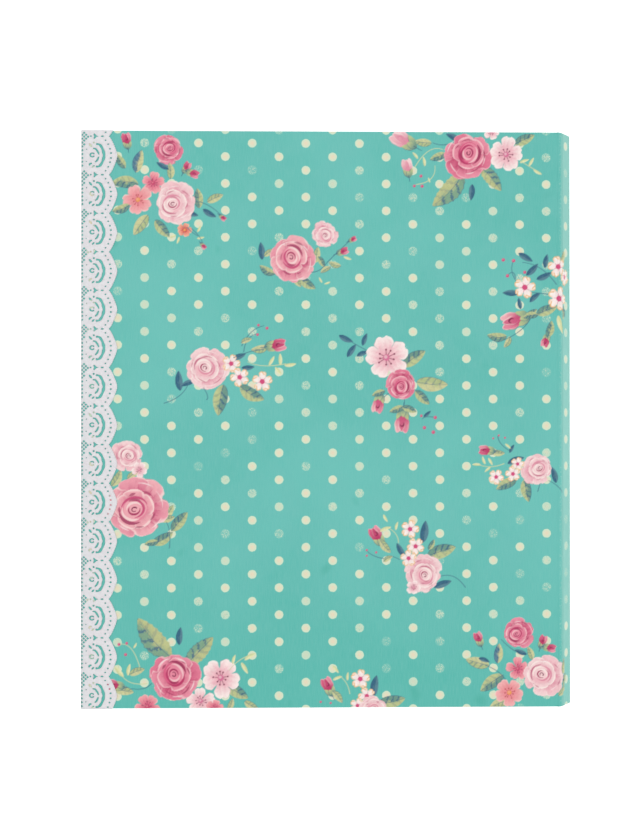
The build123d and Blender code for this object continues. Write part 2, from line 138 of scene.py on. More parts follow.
    ("S",[-54.5,-138.1,-48.9,-132.6,-41.2,-129.3],0), ("L",-53.9,-156.8,6.1,70,"0"), 
    ("L",-42.3,-157.4,7.7,-30,"0"), ("L",25.8,-146.9,9.9,82,"2"), ("L",34.8,-155.5,13.2,12,"1"), 
    ("W",17.5,-143.2,5.5,10), ("W",21.1,-152.6,5.0,40), ("W",16.0,-157.9,4.4,0), ("R",24.3,-161.3,8.8,60,"p"), 
    ("B",0.4,-148.4,4.7,115,"d"), ("L",5.0,-153.0,7.2,-50,"0"), ("L",3.9,-137.8,5.0,-50,"3"), 
    ("L",5.0,-142.7,5.0,20,"3"), ("L",10.6,-141.7,4.4,85,"3"), ("S",[6.2,-141.4,10.0,-145.8,11.7,-151.3],0), 
    ("P",-4.3,-155.7,0.61), ("P",1.2,-156.3,0.61), ("L",82.3,-134.3,11.6,165,"0"), ("L",93.8,-129.3,9.4,85,"4"), 
    ("L",90.2,-145.8,13.2,215,"1"), ("L",106.2,-128.7,6.1,160,"2"), ("L",111.4,-129.3,6.6,110,"0"), 
    ("L",94.3,-157.4,9.9,200,"0"), ("L",86.0,-133.1,5.5,-20,"2"), ("S",[86.6,-135.9,93.2,-139.2,97.6,-143.6],1), 
    ("S",[95.4,-121.6,98.7,-124.9,103.1,-128.2],1), ("R",105.1,-118.2,8.3,200,"d"), 
    ("B",118.0,-123.8,3.3,70,"d"), ("B",121.3,-126.3,3.3,-10,"d"), ("B",83.3,-122.3,3.6,110,"d"), 
    ("F",104.6,-137.9,6.3,20,"c"), ("F",99.9,-151.0,8.0,55,"o"), ("R",119.4,-141.6,11.3,160,"p"), 
    ("L",131.8,-137.0,7.7,80,"0"), ("L",132.6,-144.7,6.6,70,"1"), ("L",130.1,-150.2,6.6,40,"0"), 
]
# ---------------------------------------------------------------- the printed pattern
# A generic all-over print: cream polka dots (made in the material) with loose sprays of
# roses, buds, small blossoms and leaves.  The sprays are painted stroke by stroke into an
# array that covers the unfolded cover sheet, then read off at the vertices of the wraps.
# Colours are premultiplied and linear; the fourth channel is how much the sprays cover.


def lin(h):
    c = np.array([int(h[i:i + 2], 16) for i in (0, 2, 4)], float) / 255.0
    return np.where(c <= 0.04045, c / 12.92, ((c + 0.055) / 1.055) ** 2.4)


def ss(a, b, x):
    t = np.clip((x - a) / (b - a), 0.0, 1.0)
    return t * t * (3 - 2 * t)


def noise_field(h, w, step, rng):
    """Smooth random field, 0 to 1, one random value every `step` cells."""
    gh, gw = int(h / step) + 3, int(w / step) + 3
    g = rng.random((gh, gw))
    yy = np.arange(h) / step
    xx = np.arange(w) / step
    y0, x0 = yy.astype(int), xx.astype(int)
    ty, tx = ss(0, 1, yy - y0)[:, None], ss(0, 1, xx - x0)[None, :]
    a = g[y0][:, x0] * (1 - tx) + g[y0][:, x0 + 1] * tx
    b = g[y0 + 1][:, x0] * (1 - tx) + g[y0 + 1][:, x0 + 1] * tx
    return a * (1 - ty) + b * ty


class Sheet:
    """The print, u across and v up, in millimetres of unfolded paper."""

    def __init__(self, u0, u1, v0, v1, px):
        self.u0, self.v0, self.px = u0, v0, px
        self.w, self.h = int((u1 - u0) / px), int((v1 - v0) / px)
        self.C = np.zeros((self.h, self.w, 3), np.float32)
        self.A = np.zeros((self.h, self.w), np.float32)
        r = np.random.default_rng(11)
        self.N = (0.6 * noise_field(self.h, self.w, 3.0, r) + 0.4 * noise_field(self.h, self.w, 9.0, r)).astype(np.float32)

    def win(self, x, y, r):
        i0 = max(int((x - r - self.u0) / self.px), 0)
        i1 = min(int((x + r - self.u0) / self.px) + 2, self.w)
        j0 = max(int((y - r - self.v0) / self.px), 0)
        j1 = min(int((y + r - self.v0) / self.px) + 2, self.h)
        if i1 <= i0 or j1 <= j0:
            return None
        X = self.u0 + (np.arange(i0, i1) + 0.5) * self.px
        Y = self.v0 + (np.arange(j0, j1) + 0.5) * self.px
        return np.meshgrid(X, Y) + [(slice(j0, j1), slice(i0, i1))]

    def lay(self, sl, rgb, a):
        a = np.clip(a, 0, 1).astype(np.float32)
        k = a[..., None]
        self.C[sl] = self.C[sl] * (1 - k) + np.asarray(rgb, np.float32) * k
        self.A[sl] = self.A[sl] * (1 - a) + a

    def sample(self, u, v):
        fx = np.clip((np.asarray(u) - self.u0) / self.px - 0.5, 0, self.w - 1.001)
        fy = np.clip((np.asarray(v) - self.v0) / self.px - 0.5, 0, self.h - 1.001)
        x0, y0 = fx.astype(int), fy.astype(int)
        tx, ty = (fx - x0), (fy - y0)
        out = np.zeros((len(x0), 4))
        for dy, wy in ((0, 1 - ty), (1, ty)):
            for dx, wx in ((0, 1 - tx), (1, tx)):
                k = (wy * wx)
                out[:, :3] += self.C[y0 + dy, x0 + dx] * k[:, None]
                out[:, 3] += self.A[y0 + dy, x0 + dx] * k
        return out


AA = 0.16


def petal(P, x, y, L, W, ang, c_in, c_out, rim=None, rimw=0.5, k=1.35, p=0.55, streak=0.25, dark=None, ruffle=0.05, ph=0.0, notch=0.0):
    """A petal rooted at (x, y), L long and 2W wide, pointing along ang (radians)."""
    ca, sa = math.cos(ang), math.sin(ang)
    got = P.win(x + ca * L / 2, y + sa * L / 2, math.hypot(L / 2, W) * 1.1 + 0.3)
    if got is None:
        return
    X, Y, sl = got
    u = ((X - x) * ca + (Y - y) * sa) / L
    w = (-(X - x) * sa + (Y - y) * ca) / W
    uu = np.clip(u + notch * np.exp(-(w / 0.22) ** 2) * ss(0.6, 1.0, u), 0, 1)
    f = np.sin(np.pi * uu ** k) ** p
    f = f * (1 + ruffle * np.sin(9 * w + ph) * ss(0.3, 0.9, u) + ruffle * np.sin(17 * u + ph))
    d = (f - np.abs(w)) * W * 0.8
    a = ss(-AA, AA, d) * (u > 0) * (u < 1)
    t = ss(0.05, 0.95, u)[..., None]
    col = c_in * (1 - t) + c_out * t
    if streak:
        s = 0.5 + 0.5 * np.sin(w * 11 + ph * 3 + 3 * u + 5 * P.N[sl])
        s = (s ** 2) * (1 - ss(0.3, 0.95, u)) * streak
        col = col * (1 - s[..., None]) + c_in * s[..., None]
    n = (P.N[sl] - 0.5)[..., None]
    col = col * (1 + 0.16 * n)
    if rim is not None:
        q = (ss(rimw, 0.0, d) * ss(0.35, 0.8, u))[..., None]
        col = col * (1 - q) + rim * q
    if dark is not None:
        q = (ss(0.34, 0.05, d) * ss(-0.1, 0.5, w) * 0.8)[..., None]
        col = col * (1 - q) + dark * q
    P.lay(sl, col, a)


def stroke(P, pts, w0, w1, rgb, alpha=1.0, mid=None):
    """A brush line through pts, w0 wide at its start and w1 at its end."""
    pts = np.asarray(pts, float)
    lo, hi = pts.min(0), pts.max(0)
    c = (lo + hi) / 2
    got = P.win(c[0], c[1], max(hi - lo) / 2 + max(w0, w1, mid or 0) + 0.5)
    if got is None:
        return
    X, Y, sl = got
    seg = np.diff(pts, axis=0)
    ln = np.hypot(seg[:, 0], seg[:, 1]) + 1e-9
    cum = np.concatenate([[0], np.cumsum(ln)])
    best = np.full(X.shape, 1e9)
    par = np.zeros(X.shape)
    for i in range(len(seg)):
        t = np.clip(((X - pts[i, 0]) * seg[i, 0] + (Y - pts[i, 1]) * seg[i, 1]) / ln[i] ** 2, 0, 1)
        d = np.hypot(X - pts[i, 0] - t * seg[i, 0], Y - pts[i, 1] - t * seg[i, 1])
        m = d < best
        best = np.where(m, d, best)
        par = np.where(m, (cum[i] + t * ln[i]) / cum[-1], par)
    wd = w0 + (w1 - w0) * par
    if mid:
        wd = wd + (mid - (w0 + w1) / 2) * np.sin(np.pi * par)
    P.lay(sl, rgb, ss(AA, -AA, best - wd / 2) * alpha)


def arc(x, y, r, a0, a1, n=12, e=1.0, tilt=0.0):
    t = np.linspace(a0, a1, n)
    px, py = r * np.cos(t), e * r * np.sin(t)
    c, s = math.cos(tilt), math.sin(tilt)
    return np.stack([x + px * c - py * s, y + px * s + py * c], 1)


def disc(P, x, y, r, rgb, a=1.0, e=1.0, ang=0.0):
    got = P.win(x, y, r * max(1, e) + 0.4)
    if got is None:
        return
    X, Y, sl = got
    ca, sa = math.cos(ang), math.sin(ang)
    dx, dy = (X - x) * ca + (Y - y) * sa, (-(X - x) * sa + (Y - y) * ca) / e
    P.lay(sl, rgb, ss(AA, -AA, np.hypot(dx, dy) - r) * a)


PLUM, WINE = lin("7d2c4c"), lin("a8365f")
ROSE = {
    "d": dict(deep=lin("bb3d68"), mid=lin("dc6487"), light=lin("eb93a6"), pale=lin("f6c3c8")),
    "m": dict(deep=lin("c9527a"), mid=lin("e68a9f"), light=lin("f2b1b8"), pale=lin("f9d7d4")),
    "p": dict(deep=lin("e08fa4"), mid=lin("f1bcc2"), light=lin("f6d6d6"), pale=lin("fbe9e3")),
}


def rose(P, x, y, r, ang, pal, rng):
    c = ROSE[pal]
    a0 = math.radians(ang)
    cx, cy = x + 0.15 * r * math.cos(a0), y + 0.15 * r * math.sin(a0)
    n = 6 if r > 9 else 5
    for i in range(n):                                    # the open outer petals
        a = a0 + math.pi + (i - (n - 1) / 2) * 2 * math.pi / n * 0.98 + rng.uniform(-.12, .12)
        L = r * rng.uniform(0.86, 1.10)
        petal(P, x + .02 * r * math.cos(a), y + .02 * r * math.sin(a), L, r * rng.uniform(.44, .60), a,
              c["deep"], c["light"] if i % 2 else c["mid"] * .5 + c["light"] * .5, rim=c["pale"], rimw=.075 * r,
              k=rng.uniform(1.5, 2.0), p=.48, streak=.7, dark=c["deep"] * .8 + WINE * .2 if pal != "p" else lin("de7f98"), ph=rng.uniform(0, 6), ruffle=.085, notch=rng.uniform(.0, .10))
        for w_ in range(2):                               # brush marks running up the petal
            b = a + rng.uniform(-.38, .38)
            stroke(P, [(x + .42 * r * math.cos(b), y + .42 * r * math.sin(b)), (x + rng.uniform(.66, .86) * r * math.cos(b + .07), y + rng.uniform(.66, .86) * r * math.sin(b + .07))],
                   .02 * r, .01 * r, c["deep"], .5, mid=.045 * r)
    m = 5
    for i in range(m):                                    # the second ring, cupped
        a = a0 + math.pi / m + i * 2 * math.pi / m + rng.uniform(-.15, .15)
        petal(P, cx - .04 * r * math.cos(a), cy - .04 * r * math.sin(a), .74 * r, .38 * r, a,
              c["deep"], c["light"], rim=c["pale"], rimw=.07 * r, k=1.8, p=.5, streak=.5,
              dark=WINE * .5 + c["deep"] * .5, ph=rng.uniform(0, 6))
        q = arc(cx, cy, .66 * r, a - .42, a + .42, 9)
        stroke(P, q, .02 * r, .02 * r, c["pale"], .9, mid=.075 * r)
    for i in range(5):                                    # light catching the outer rims
        s0 = a0 + .6 + i * 1.3 + rng.uniform(-.3, .3)
        q = arc(x, y, rng.uniform(.74, .92) * r, s0, s0 + rng.uniform(.45, .85), 10, rng.uniform(.88, 1), a0)
        stroke(P, q, .01 * r, .01 * r, lin("fdf1ee"), .62, mid=rng.uniform(.03, .055) * r)
    disc(P, cx, cy, .46 * r, c["mid"], 1, .9, a0)
    disc(P, cx + .03 * r, cy + .03 * r, .40 * r, c["light"], .8, .88, a0)
    for k_, (rr, sp, col, wd) in enumerate(((.47, 2.5, c["deep"], .085), (.42, 2.2, c["pale"], .09), (.33, 3.4, c["deep"], .08),
                                            (.27, 2.6, c["pale"], .075), (.20, 3.8, WINE, .06), (.14, 2.6, c["light"], .06))):
        s0 = a0 + k_ * 2.1 + rng.uniform(-.3, .3)
        q = arc(cx, cy, rr * r, s0, s0 + sp, 14, .86, a0)
        stroke(P, q, .02 * r, .02 * r, col, .95, mid=wd * r * 1.15)
    q = arc(cx, cy, .09 * r, a0, a0 + 4.6, 10, .8, a0)
    stroke(P, q, .05 * r, .03 * r, PLUM, .95)
    dk = PLUM * .55 + c["deep"] * .45 if pal != "p" else WINE * .6 + c["deep"] * .4
    q = arc(cx, cy, .52 * r, a0 + 2.5, a0 + 4.4, 12, .92, a0)      # the deep fold below the cup
    stroke(P, q, .01 * r, .02 * r, dk, .9, mid=(.13 if pal != "p" else .075) * r)
    q = arc(cx, cy, .37 * r, a0 + .2, a0 + 1.5, 9, .9, a0)
    stroke(P, q, .01 * r, .01 * r, dk, .8, mid=(.09 if pal != "p" else .055) * r)
    for i in range(5):                                    # loose dark accents between petals
        s0 = a0 + 1.1 + i * 1.26 + rng.uniform(-.3, .3)
        q = arc(x, y, rng.uniform(.56, .80) * r, s0, s0 + rng.uniform(.35, .8), 8, rng.uniform(.85, 1), a0)
        stroke(P, q, .01 * r, .01 * r, dk, .75, mid=rng.uniform(.04, .10 if pal != "p" else .065) * r)


BLOSSOM = {
    "w": dict(inn=lin("eeb2bd"), out=lin("fbeae6"), rim=lin("fdf4ef"), st=PLUM, eye=lin("d8779a")),
    "c": dict(inn=lin("dd6a86"), out=lin("f3a9ad"), rim=lin("f9cdc9"), st=lin("8c3454"), eye=lin("c8466c")),
    "o": dict(inn=lin("ea8c93"), out=lin("f4b3b3"), rim=lin("f9d6cf"), st=lin("b5484f"), eye=lin("eda057")),
    "y": dict(inn=lin("e26d62"), out=lin("f2b197"), rim=lin("f8d5b8"), st=lin("9b4a4a"), eye=lin("efa54e")),
}


def blossom(P, x, y, r, ang, pal, rng):
    c = BLOSSOM[pal]
    a0 = math.radians(ang)
    for i in (0, 2, 4, 1, 3):
        a = a0 + i * 2 * math.pi / 5 + rng.uniform(-.08, .08)
        petal(P, x, y, r * rng.uniform(.95, 1.10), r * rng.uniform(.38, .45), a, c["inn"], c["out"], rim=c["rim"], rimw=.10 * r,
              k=1.9, p=.5, streak=.75, ph=rng.uniform(0, 6), dark=c["inn"], notch=.10, ruffle=.05)
    for i in range(9):
        a = a0 + i * 2 * math.pi / 9 + rng.uniform(-.2, .2)
        rr = r * rng.uniform(.26, .42)
        stroke(P, [(x + .08 * r * math.cos(a), y + .08 * r * math.sin(a)), (x + rr * math.cos(a), y + rr * math.sin(a))], .05 * r, .03 * r, c["st"], .75)
        disc(P, x + rr * math.cos(a), y + rr * math.sin(a), max(.045 * r, .22), c["st"], .9)
    disc(P, x, y, .15 * r, c["eye"])
    disc(P, x - .03 * r, y + .03 * r, .08 * r, c["eye"] * .55 + c["out"] * .45)


def small_white(P, x, y, r, ang, rng):
    a0 = math.radians(ang)
    for i in range(5):
        a = a0 + i * 2 * math.pi / 5
        petal(P, x, y, r, .36 * r, a, lin("f6e3e2"), lin("fdf7f0"), rim=lin("f0b877"), rimw=.18 * r, k=1.8, p=.5, streak=.2, ph=i, notch=.12)
        stroke(P, [(x + .7 * r * math.cos(a - .2), y + .7 * r * math.sin(a - .2)), (x + .93 * r * math.cos(a + .1), y + .93 * r * math.sin(a + .1))],
               .12 * r, .10 * r, lin("eeb06a"), .8)
    disc(P, x, y, .24 * r, lin("d4537f"))
    for i in range(5):
        a = a0 + .6 + i * 2 * math.pi / 5
        stroke(P, [(x, y), (x + .42 * r * math.cos(a), y + .42 * r * math.sin(a))], .08 * r, .04 * r, lin("d4537f"), .8)


LEAF = {
    "0": (lin("cfcf9c"), lin("b2bf8b"), lin("4d7189")),
    "1": (lin("bfc792"), lin("71998a"), lin("3a6183")),
    "2": (lin("5d8595"), lin("3f6b85"), lin("2f5872")),
    "3": (lin("e6e6b8"), lin("d6daa4"), lin("b9c592")),
    "4": (lin("d0d09c"), lin("5f8598"), lin("365f80")),
    "5": (lin("bfc48e"), lin("83a78c"), lin("3f6688")),
}


def leaf(P, x, y, size, ang, pal, rng):
    """A leaf of that length, centred on (x, y); its tip points along ang (degrees)."""
    a = math.radians(ang)
    ca, sa = math.cos(a), math.sin(a)
    L = size * (1.08 if pal == "3" else 1.16)
    W = L * (0.23 if pal == "3" else .35 if pal == "5" else .29 if pal == "2" else .355)
    bx, by = x - ca * L / 2, y - sa * L / 2
    got = P.win(x, y, L * .62 + .4)
    if got is None:
        return
    X, Y, sl = got
    u = ((X - bx) * ca + (Y - by) * sa) / L
    bend = rng.uniform(-.22, .22)
    w = (-(X - bx) * sa + (Y - by) * ca) / W - bend * np.sin(np.pi * np.clip(u, 0, 1))
    uc = np.clip(u, 1e-4, 1)
    f = 1.72 * uc ** .62 * (1 - uc) ** .80
    if pal == "5":
        f = f * (1 - .10 * np.abs(np.sin(uc * 26)))
    d = (f - np.abs(w)) * W * .85
    al = ss(-AA, AA, d) * (u > 0) * (u < 1)
    c0, c1, c2 = LEAF[pal]
    side = ss(-.22, .22, w + .12 * np.sin(uc * 12) + .5 * (P.N[sl] - .5))[..., None]
    col = c0 * (1 - side) + c1 * side
    col = col * (1 + .22 * (P.N[sl] - .5))[..., None]
    v = np.sin((uc * 4.6 - np.abs(w) * 1.1 + .5 * (P.N[sl] - .5)) * 2 * np.pi)
    vein = ss(.35, .92, v) * ss(1.05, .35, np.abs(w)) * ss(.05, .25, uc) * ss(.98, .8, uc) * (.75 if pal in "15" else .5 if pal in "04" else .25)
    vein = vein * (.35 + .65 * (w > 0))
    col = col * (1 - vein[..., None]) + c2 * vein[..., None]
    edge = (ss(.30, .02, d) * (w > .02) * (.9 if pal != "3" else .35))[..., None]
    col = col * (1 - edge) + c2 * edge
    P.lay(sl, col, al)
    if pal != "3":
        t = np.linspace(0, .93, 9)
        mx = bx + ca * L * t - sa * W * bend * np.sin(np.pi * t)
        my = by + sa * L * t + ca * W * bend * np.sin(np.pi * t)
        stroke(P, np.stack([mx, my], 1), .34, .14, c2, .85)
        t2 = np.linspace(.55, 1.0, 4)
        stroke(P, np.stack([bx + ca * L * t2, by + sa * L * t2], 1), .1, .1, c2, .6)


def bud(P, x, y, s, ang, pal, rng):
    """A closed bud of half length s; its tip points along ang (degrees)."""
    a = math.radians(ang)
    ca, sa = math.cos(a), math.sin(a)
    c = ROSE["p"] if pal == "w" else ROSE[pal]
    bx, by = x - ca * s * .75, y - sa * s * .75
    for o, col in ((.42, c["mid"]), (-.42, c["light"]), (0, c["mid"] * .4 + c["deep"] * .6)):
        petal(P, bx, by, s * (2.2 if o else 2.05), s * (.44 if o else .36), a + o * .45, c["deep"], col, rim=c["pale"], rimw=.12 * s,
              k=1.25, p=.6, streak=.5, dark=WINE if pal != "w" else c["deep"], ph=rng.uniform(0, 6))
    tx, ty = x + ca * s * .55, y + sa * s * .55
    stroke(P, arc(tx, ty, .22 * s, a + .4, a + 4.2, 9, .8, a), .05 * s, .03 * s, PLUM if pal != "w" else c["deep"], .9, mid=.14 * s)
    g0, g1, g2 = LEAF["1"]
    for o in (-.75, .75, .1):
        petal(P, bx - ca * .3 * s, by - sa * .3 * s, s * (1.3 if o != .1 else .95), s * .27, a + o * .6, g1, g0, k=1.0, p=.8, streak=.4, dark=g2, ph=o)
    stroke(P, [(bx - ca * .75 * s, by - sa * .75 * s), (bx, by)], .30, .42, g2, .9)


def paint_sprays(P, sprays, place, seed):
    """place(x, y, angle) moves an element from the front panel to where it is wanted."""
    rng = np.random.default_rng(seed)
    for e in sprays:
        kind = e[0]
        if kind == "S":
            q = np.array(e[1], float).reshape(-1, 2)
            q = np.array([place(a, b, 0)[:2] for a, b in q])
            if len(q) >= 3:                                # a soft curve through the points
                t = np.linspace(0, 1, 14)[:, None]
                m = 2 * q[1] - (q[0] + q[-1]) / 2
                q = (1 - t) ** 2 * q[0] + 2 * t * (1 - t) * m + t ** 2 * q[-1]
            stroke(P, q, .34, .46, lin("cfd8a8") if e[2] == 0 else lin("4d7a8c"), .95)
        elif kind == "P":
            x, y, _ = place(e[1], e[2], 0)
            disc(P, x, y, e[3], lin("d2557f"))
            disc(P, x - .25 * e[3], y + .25 * e[3], .35 * e[3], lin("eea3b6"), .8)
        else:
            x, y, a = place(e[1], e[2], e[4])
            if kind == "R":
                rose(P, x, y, e[3], a, e[5], rng)
            elif kind == "F":
                blossom(P, x, y, e[3], a, e[5], rng)
            elif kind == "B":
                bud(P, x, y, e[3], a, e[5], rng)
            elif kind == "L":
                leaf(P, x, y, e[3], a, e[5], rng)
            elif kind == "W":
                small_white(P, x, y, e[3], a, rng)
# ---------------------------------------------------------------- mesh helpers
def build(name, co, faces, sheet=None, mats=(), mat_ids=None, smooth=None, col=None, merge=True):
    me = bpy.data.meshes.new(name)
    me.from_pydata([tuple(c) for c in np.asarray(co) * MM], [], [tuple(f) for f in faces])
    if sheet is not None:
        a = me.attributes.new("sheet", "FLOAT_VECTOR", "POINT")
        s = np.zeros((len(co), 3), np.float32)
        s[:, :np.asarray(sheet).shape[1]] = sheet
        a.data.foreach_set("vector", s.ravel())
    if col is not None:
        a = me.attributes.new("print", "FLOAT_COLOR", "POINT")
        a.data.foreach_set("color", np.asarray(col, np.float32).ravel())
    for m in mats:
        me.materials.append(m)
    if mat_ids is not None:
        me.polygons.foreach_set("material_index", np.asarray(mat_ids, np.int32))
    if smooth is not None:
        me.polygons.foreach_set("use_smooth", np.asarray(smooth, bool))
    if merge:
        bm = bmesh.new()
        bm.from_mesh(me)
        bmesh.ops.remove_doubles(bm, verts=bm.verts, dist=2e-6)
        bmesh.ops.dissolve_degenerate(bm, edges=bm.edges, dist=1e-6)
        bmesh.ops.recalc_face_normals(bm, faces=bm.faces)
        bm.to_mesh(me)
        bm.free()
    me.update()
    ob = bpy.data.objects.new(name, me)
    bpy.context.scene.collection.objects.link(ob)
    return ob


def cover_wrap(name, side, P, u_of, mats, sub):
    """The printed paper over one board: outer face, rounded edges, turn-ins and its inner skin.
    side is +1 for the front cover (outer face up at Z_TOP), -1 for the back (outer face down at 0)."""
    cell, rr, x_end = 2.4, 0.9, XA - CUT
    x0, y0, y1 = XE + rr, -YE + rr, YE - rr
    nx, ny = round((x_end - x0) / cell), round((y1 - y0) / cell)
    lx = np.linspace(x0, x_end, nx * sub + 1)
    ly = np.linspace(y0, y1, ny * sub + 1)
    pad, out = 0.5, 19.0
    fine = np.zeros((nx, ny), bool)
    for i in range(nx):
        for j in range(ny):
            a, b = lx[i * sub] - (out if i == 0 else pad), lx[(i + 1) * sub] + pad
            c, d = ly[j * sub] - (out if j == 0 else pad), ly[(j + 1) * sub] + (out if j == ny - 1 else pad)
            ua, ub = sorted((u_of(a), u_of(b)))
            i0, i1 = int((ua - P.u0) / P.px), int((ub - P.u0) / P.px) + 1
            j0, j1 = int((c - P.v0) / P.px), int((d - P.v0) / P.px) + 1
            fine[i, j] = P.A[max(j0, 0):j1, max(i0, 0):i1].max(initial=0) > 0.02
    key = {}
    co, sh = [], []

    def z_of(h):
        return Z_TOP - h if side > 0 else h

    def vert(I, J):
        k = (I, J)
        if k not in key:
            key[k] = len(co)
            co.append((lx[I], ly[J], z_of(0.0)))
            sh.append((u_of(lx[I]), ly[J]))
        return key[k]

    faces, smooth = [], []
    for i in range(nx):
        for j in range(ny):
            I, J = i * sub, j * sub
            if fine[i, j]:
                for a in range(sub):
                    for b in range(sub):
                        faces.append((vert(I + a, J + b), vert(I + a + 1, J + b), vert(I + a + 1, J + b + 1), vert(I + a, J + b + 1)))
                continue
            loop = []
            for (di, dj, pts) in ((0, -1, [(I + a, J) for a in range(sub)]), (1, 0, [(I + sub, J + a) for a in range(sub)]),
                                  (0, 1, [(I + sub - a, J + sub) for a in range(sub)]), (-1, 0, [(I, J + sub - a) for a in range(sub)])):
                ii, jj = i + di, j + dj
                nb = 0 <= ii < nx and 0 <= jj < ny and fine[ii, jj]
                loop += [vert(*q) for q in (pts if nb else pts[:1])]
            if len(loop) == 4:
                faces.append(tuple(loop))
            else:
                c = vert(I + sub // 2, J + sub // 2)
                for a in range(len(loop)):
                    faces.append((c, loop[a], loop[(a + 1) % len(loop)]))
    smooth += [False] * len(faces)

    # the border of the flat face, from the spine end round the fore-edge and back
    border = []
    for I in range(nx * sub, -1, -1):
        if (I, ny * sub) in key:
            border.append(("h", I, ny * sub))
    border += [("c", 1, k) for k in range(1, 5)]
    for J in range(ny * sub, -1, -1):
        if (0, J) in key:
            border.append(("v", 0, J))
    border += [("c", 0, k) for k in range(1, 5)]
    for I in range(0, nx * sub + 1):
        if (I, 0) in key:
            border.append(("h", I, 0))
    prof = [(rr - rr * math.sin(t), rr - rr * math.cos(t)) for t in np.radians([18, 36, 54, 72, 90])]
    prof += [(0.0, 1.7), (0.0, 2.4)] + [(0.5 - 0.5 * math.cos(t), 2.4 + 0.5 * math.sin(t)) for t in np.radians([30, 60, 90])]
    prof += [(5.2, 2.9), (10.0, 2.9), (14.8, 2.9), (15.0, 2.75), (14.9, 2.55), (0.5, 2.55), (0.35, 2.4), (0.35, 0.9), (0.5, 0.5), (0.9, 0.35), (1.4, 0.35)]
    rings = []
    first = []
    for kind, I, J in border:
        if kind == "c":
            first.append(vert(0, ny * sub if I else 0))
        else:
            first.append(vert(I, J))
    rings.append(first)
    L, prev = 0.0, (rr, 0.0)
    for n_, (d, h) in enumerate(prof):
        L += math.hypot(d - prev[0], h - prev[1]) if n_ < 14 else 0.0
        prev = (d, h)
        ring = []
        for kind, I, J in border:
            if kind == "c":
                s = 1 if I else -1
                t = math.radians(90 + 18 * J) if I else math.radians(180 + 18 * J)
                if d < rr:
                    x, y = x0 + (rr - d) * math.cos(t), s * y1 + (rr - d) * math.sin(t)
                else:
                    x, y = XE + d, s * (YE - d)
                uv = (u_of(x0 + L * math.cos(t)), s * y1 + L * math.sin(t))
            elif kind == "h":
                s = 1 if J else -1
                x = lx[I] if d <= rr else max(lx[I], XE + d)
                y = s * (YE - d)
                uv = (u_of(lx[I]), s * (y1 + L))
            else:
                y = ly[J] if d <= rr else max(min(ly[J], YE - d), d - YE)
                x = XE + d
                uv = (u_of(x0 - L), ly[J])
            ring.append(len(co))
            co.append((x, y, z_of(h)))
            sh.append(uv)
        rings.append(ring)
    for a, b in zip(rings, rings[1:]):
        for k in range(len(a) - 1):
            f = (a[k], a[k + 1], b[k + 1], b[k])
            faces.append(tuple(dict.fromkeys(f)))
            smooth.append(True)
    faces.append(tuple(rings[-1]))                     # the skin against the board
    end = [key[(nx * sub, J)] for J in range(0, ny * sub + 1) if (nx * sub, J) in key]
    faces.append(tuple([r[0] for r in rings[1:]] + [r[-1] for r in rings[:0:-1]] + end))
    smooth += [False, False]
    sh = np.array(sh)
    col = P.sample(sh[:, 0], sh[:, 1])
    return build(name, co, faces, sh, mats, None, smooth, col)


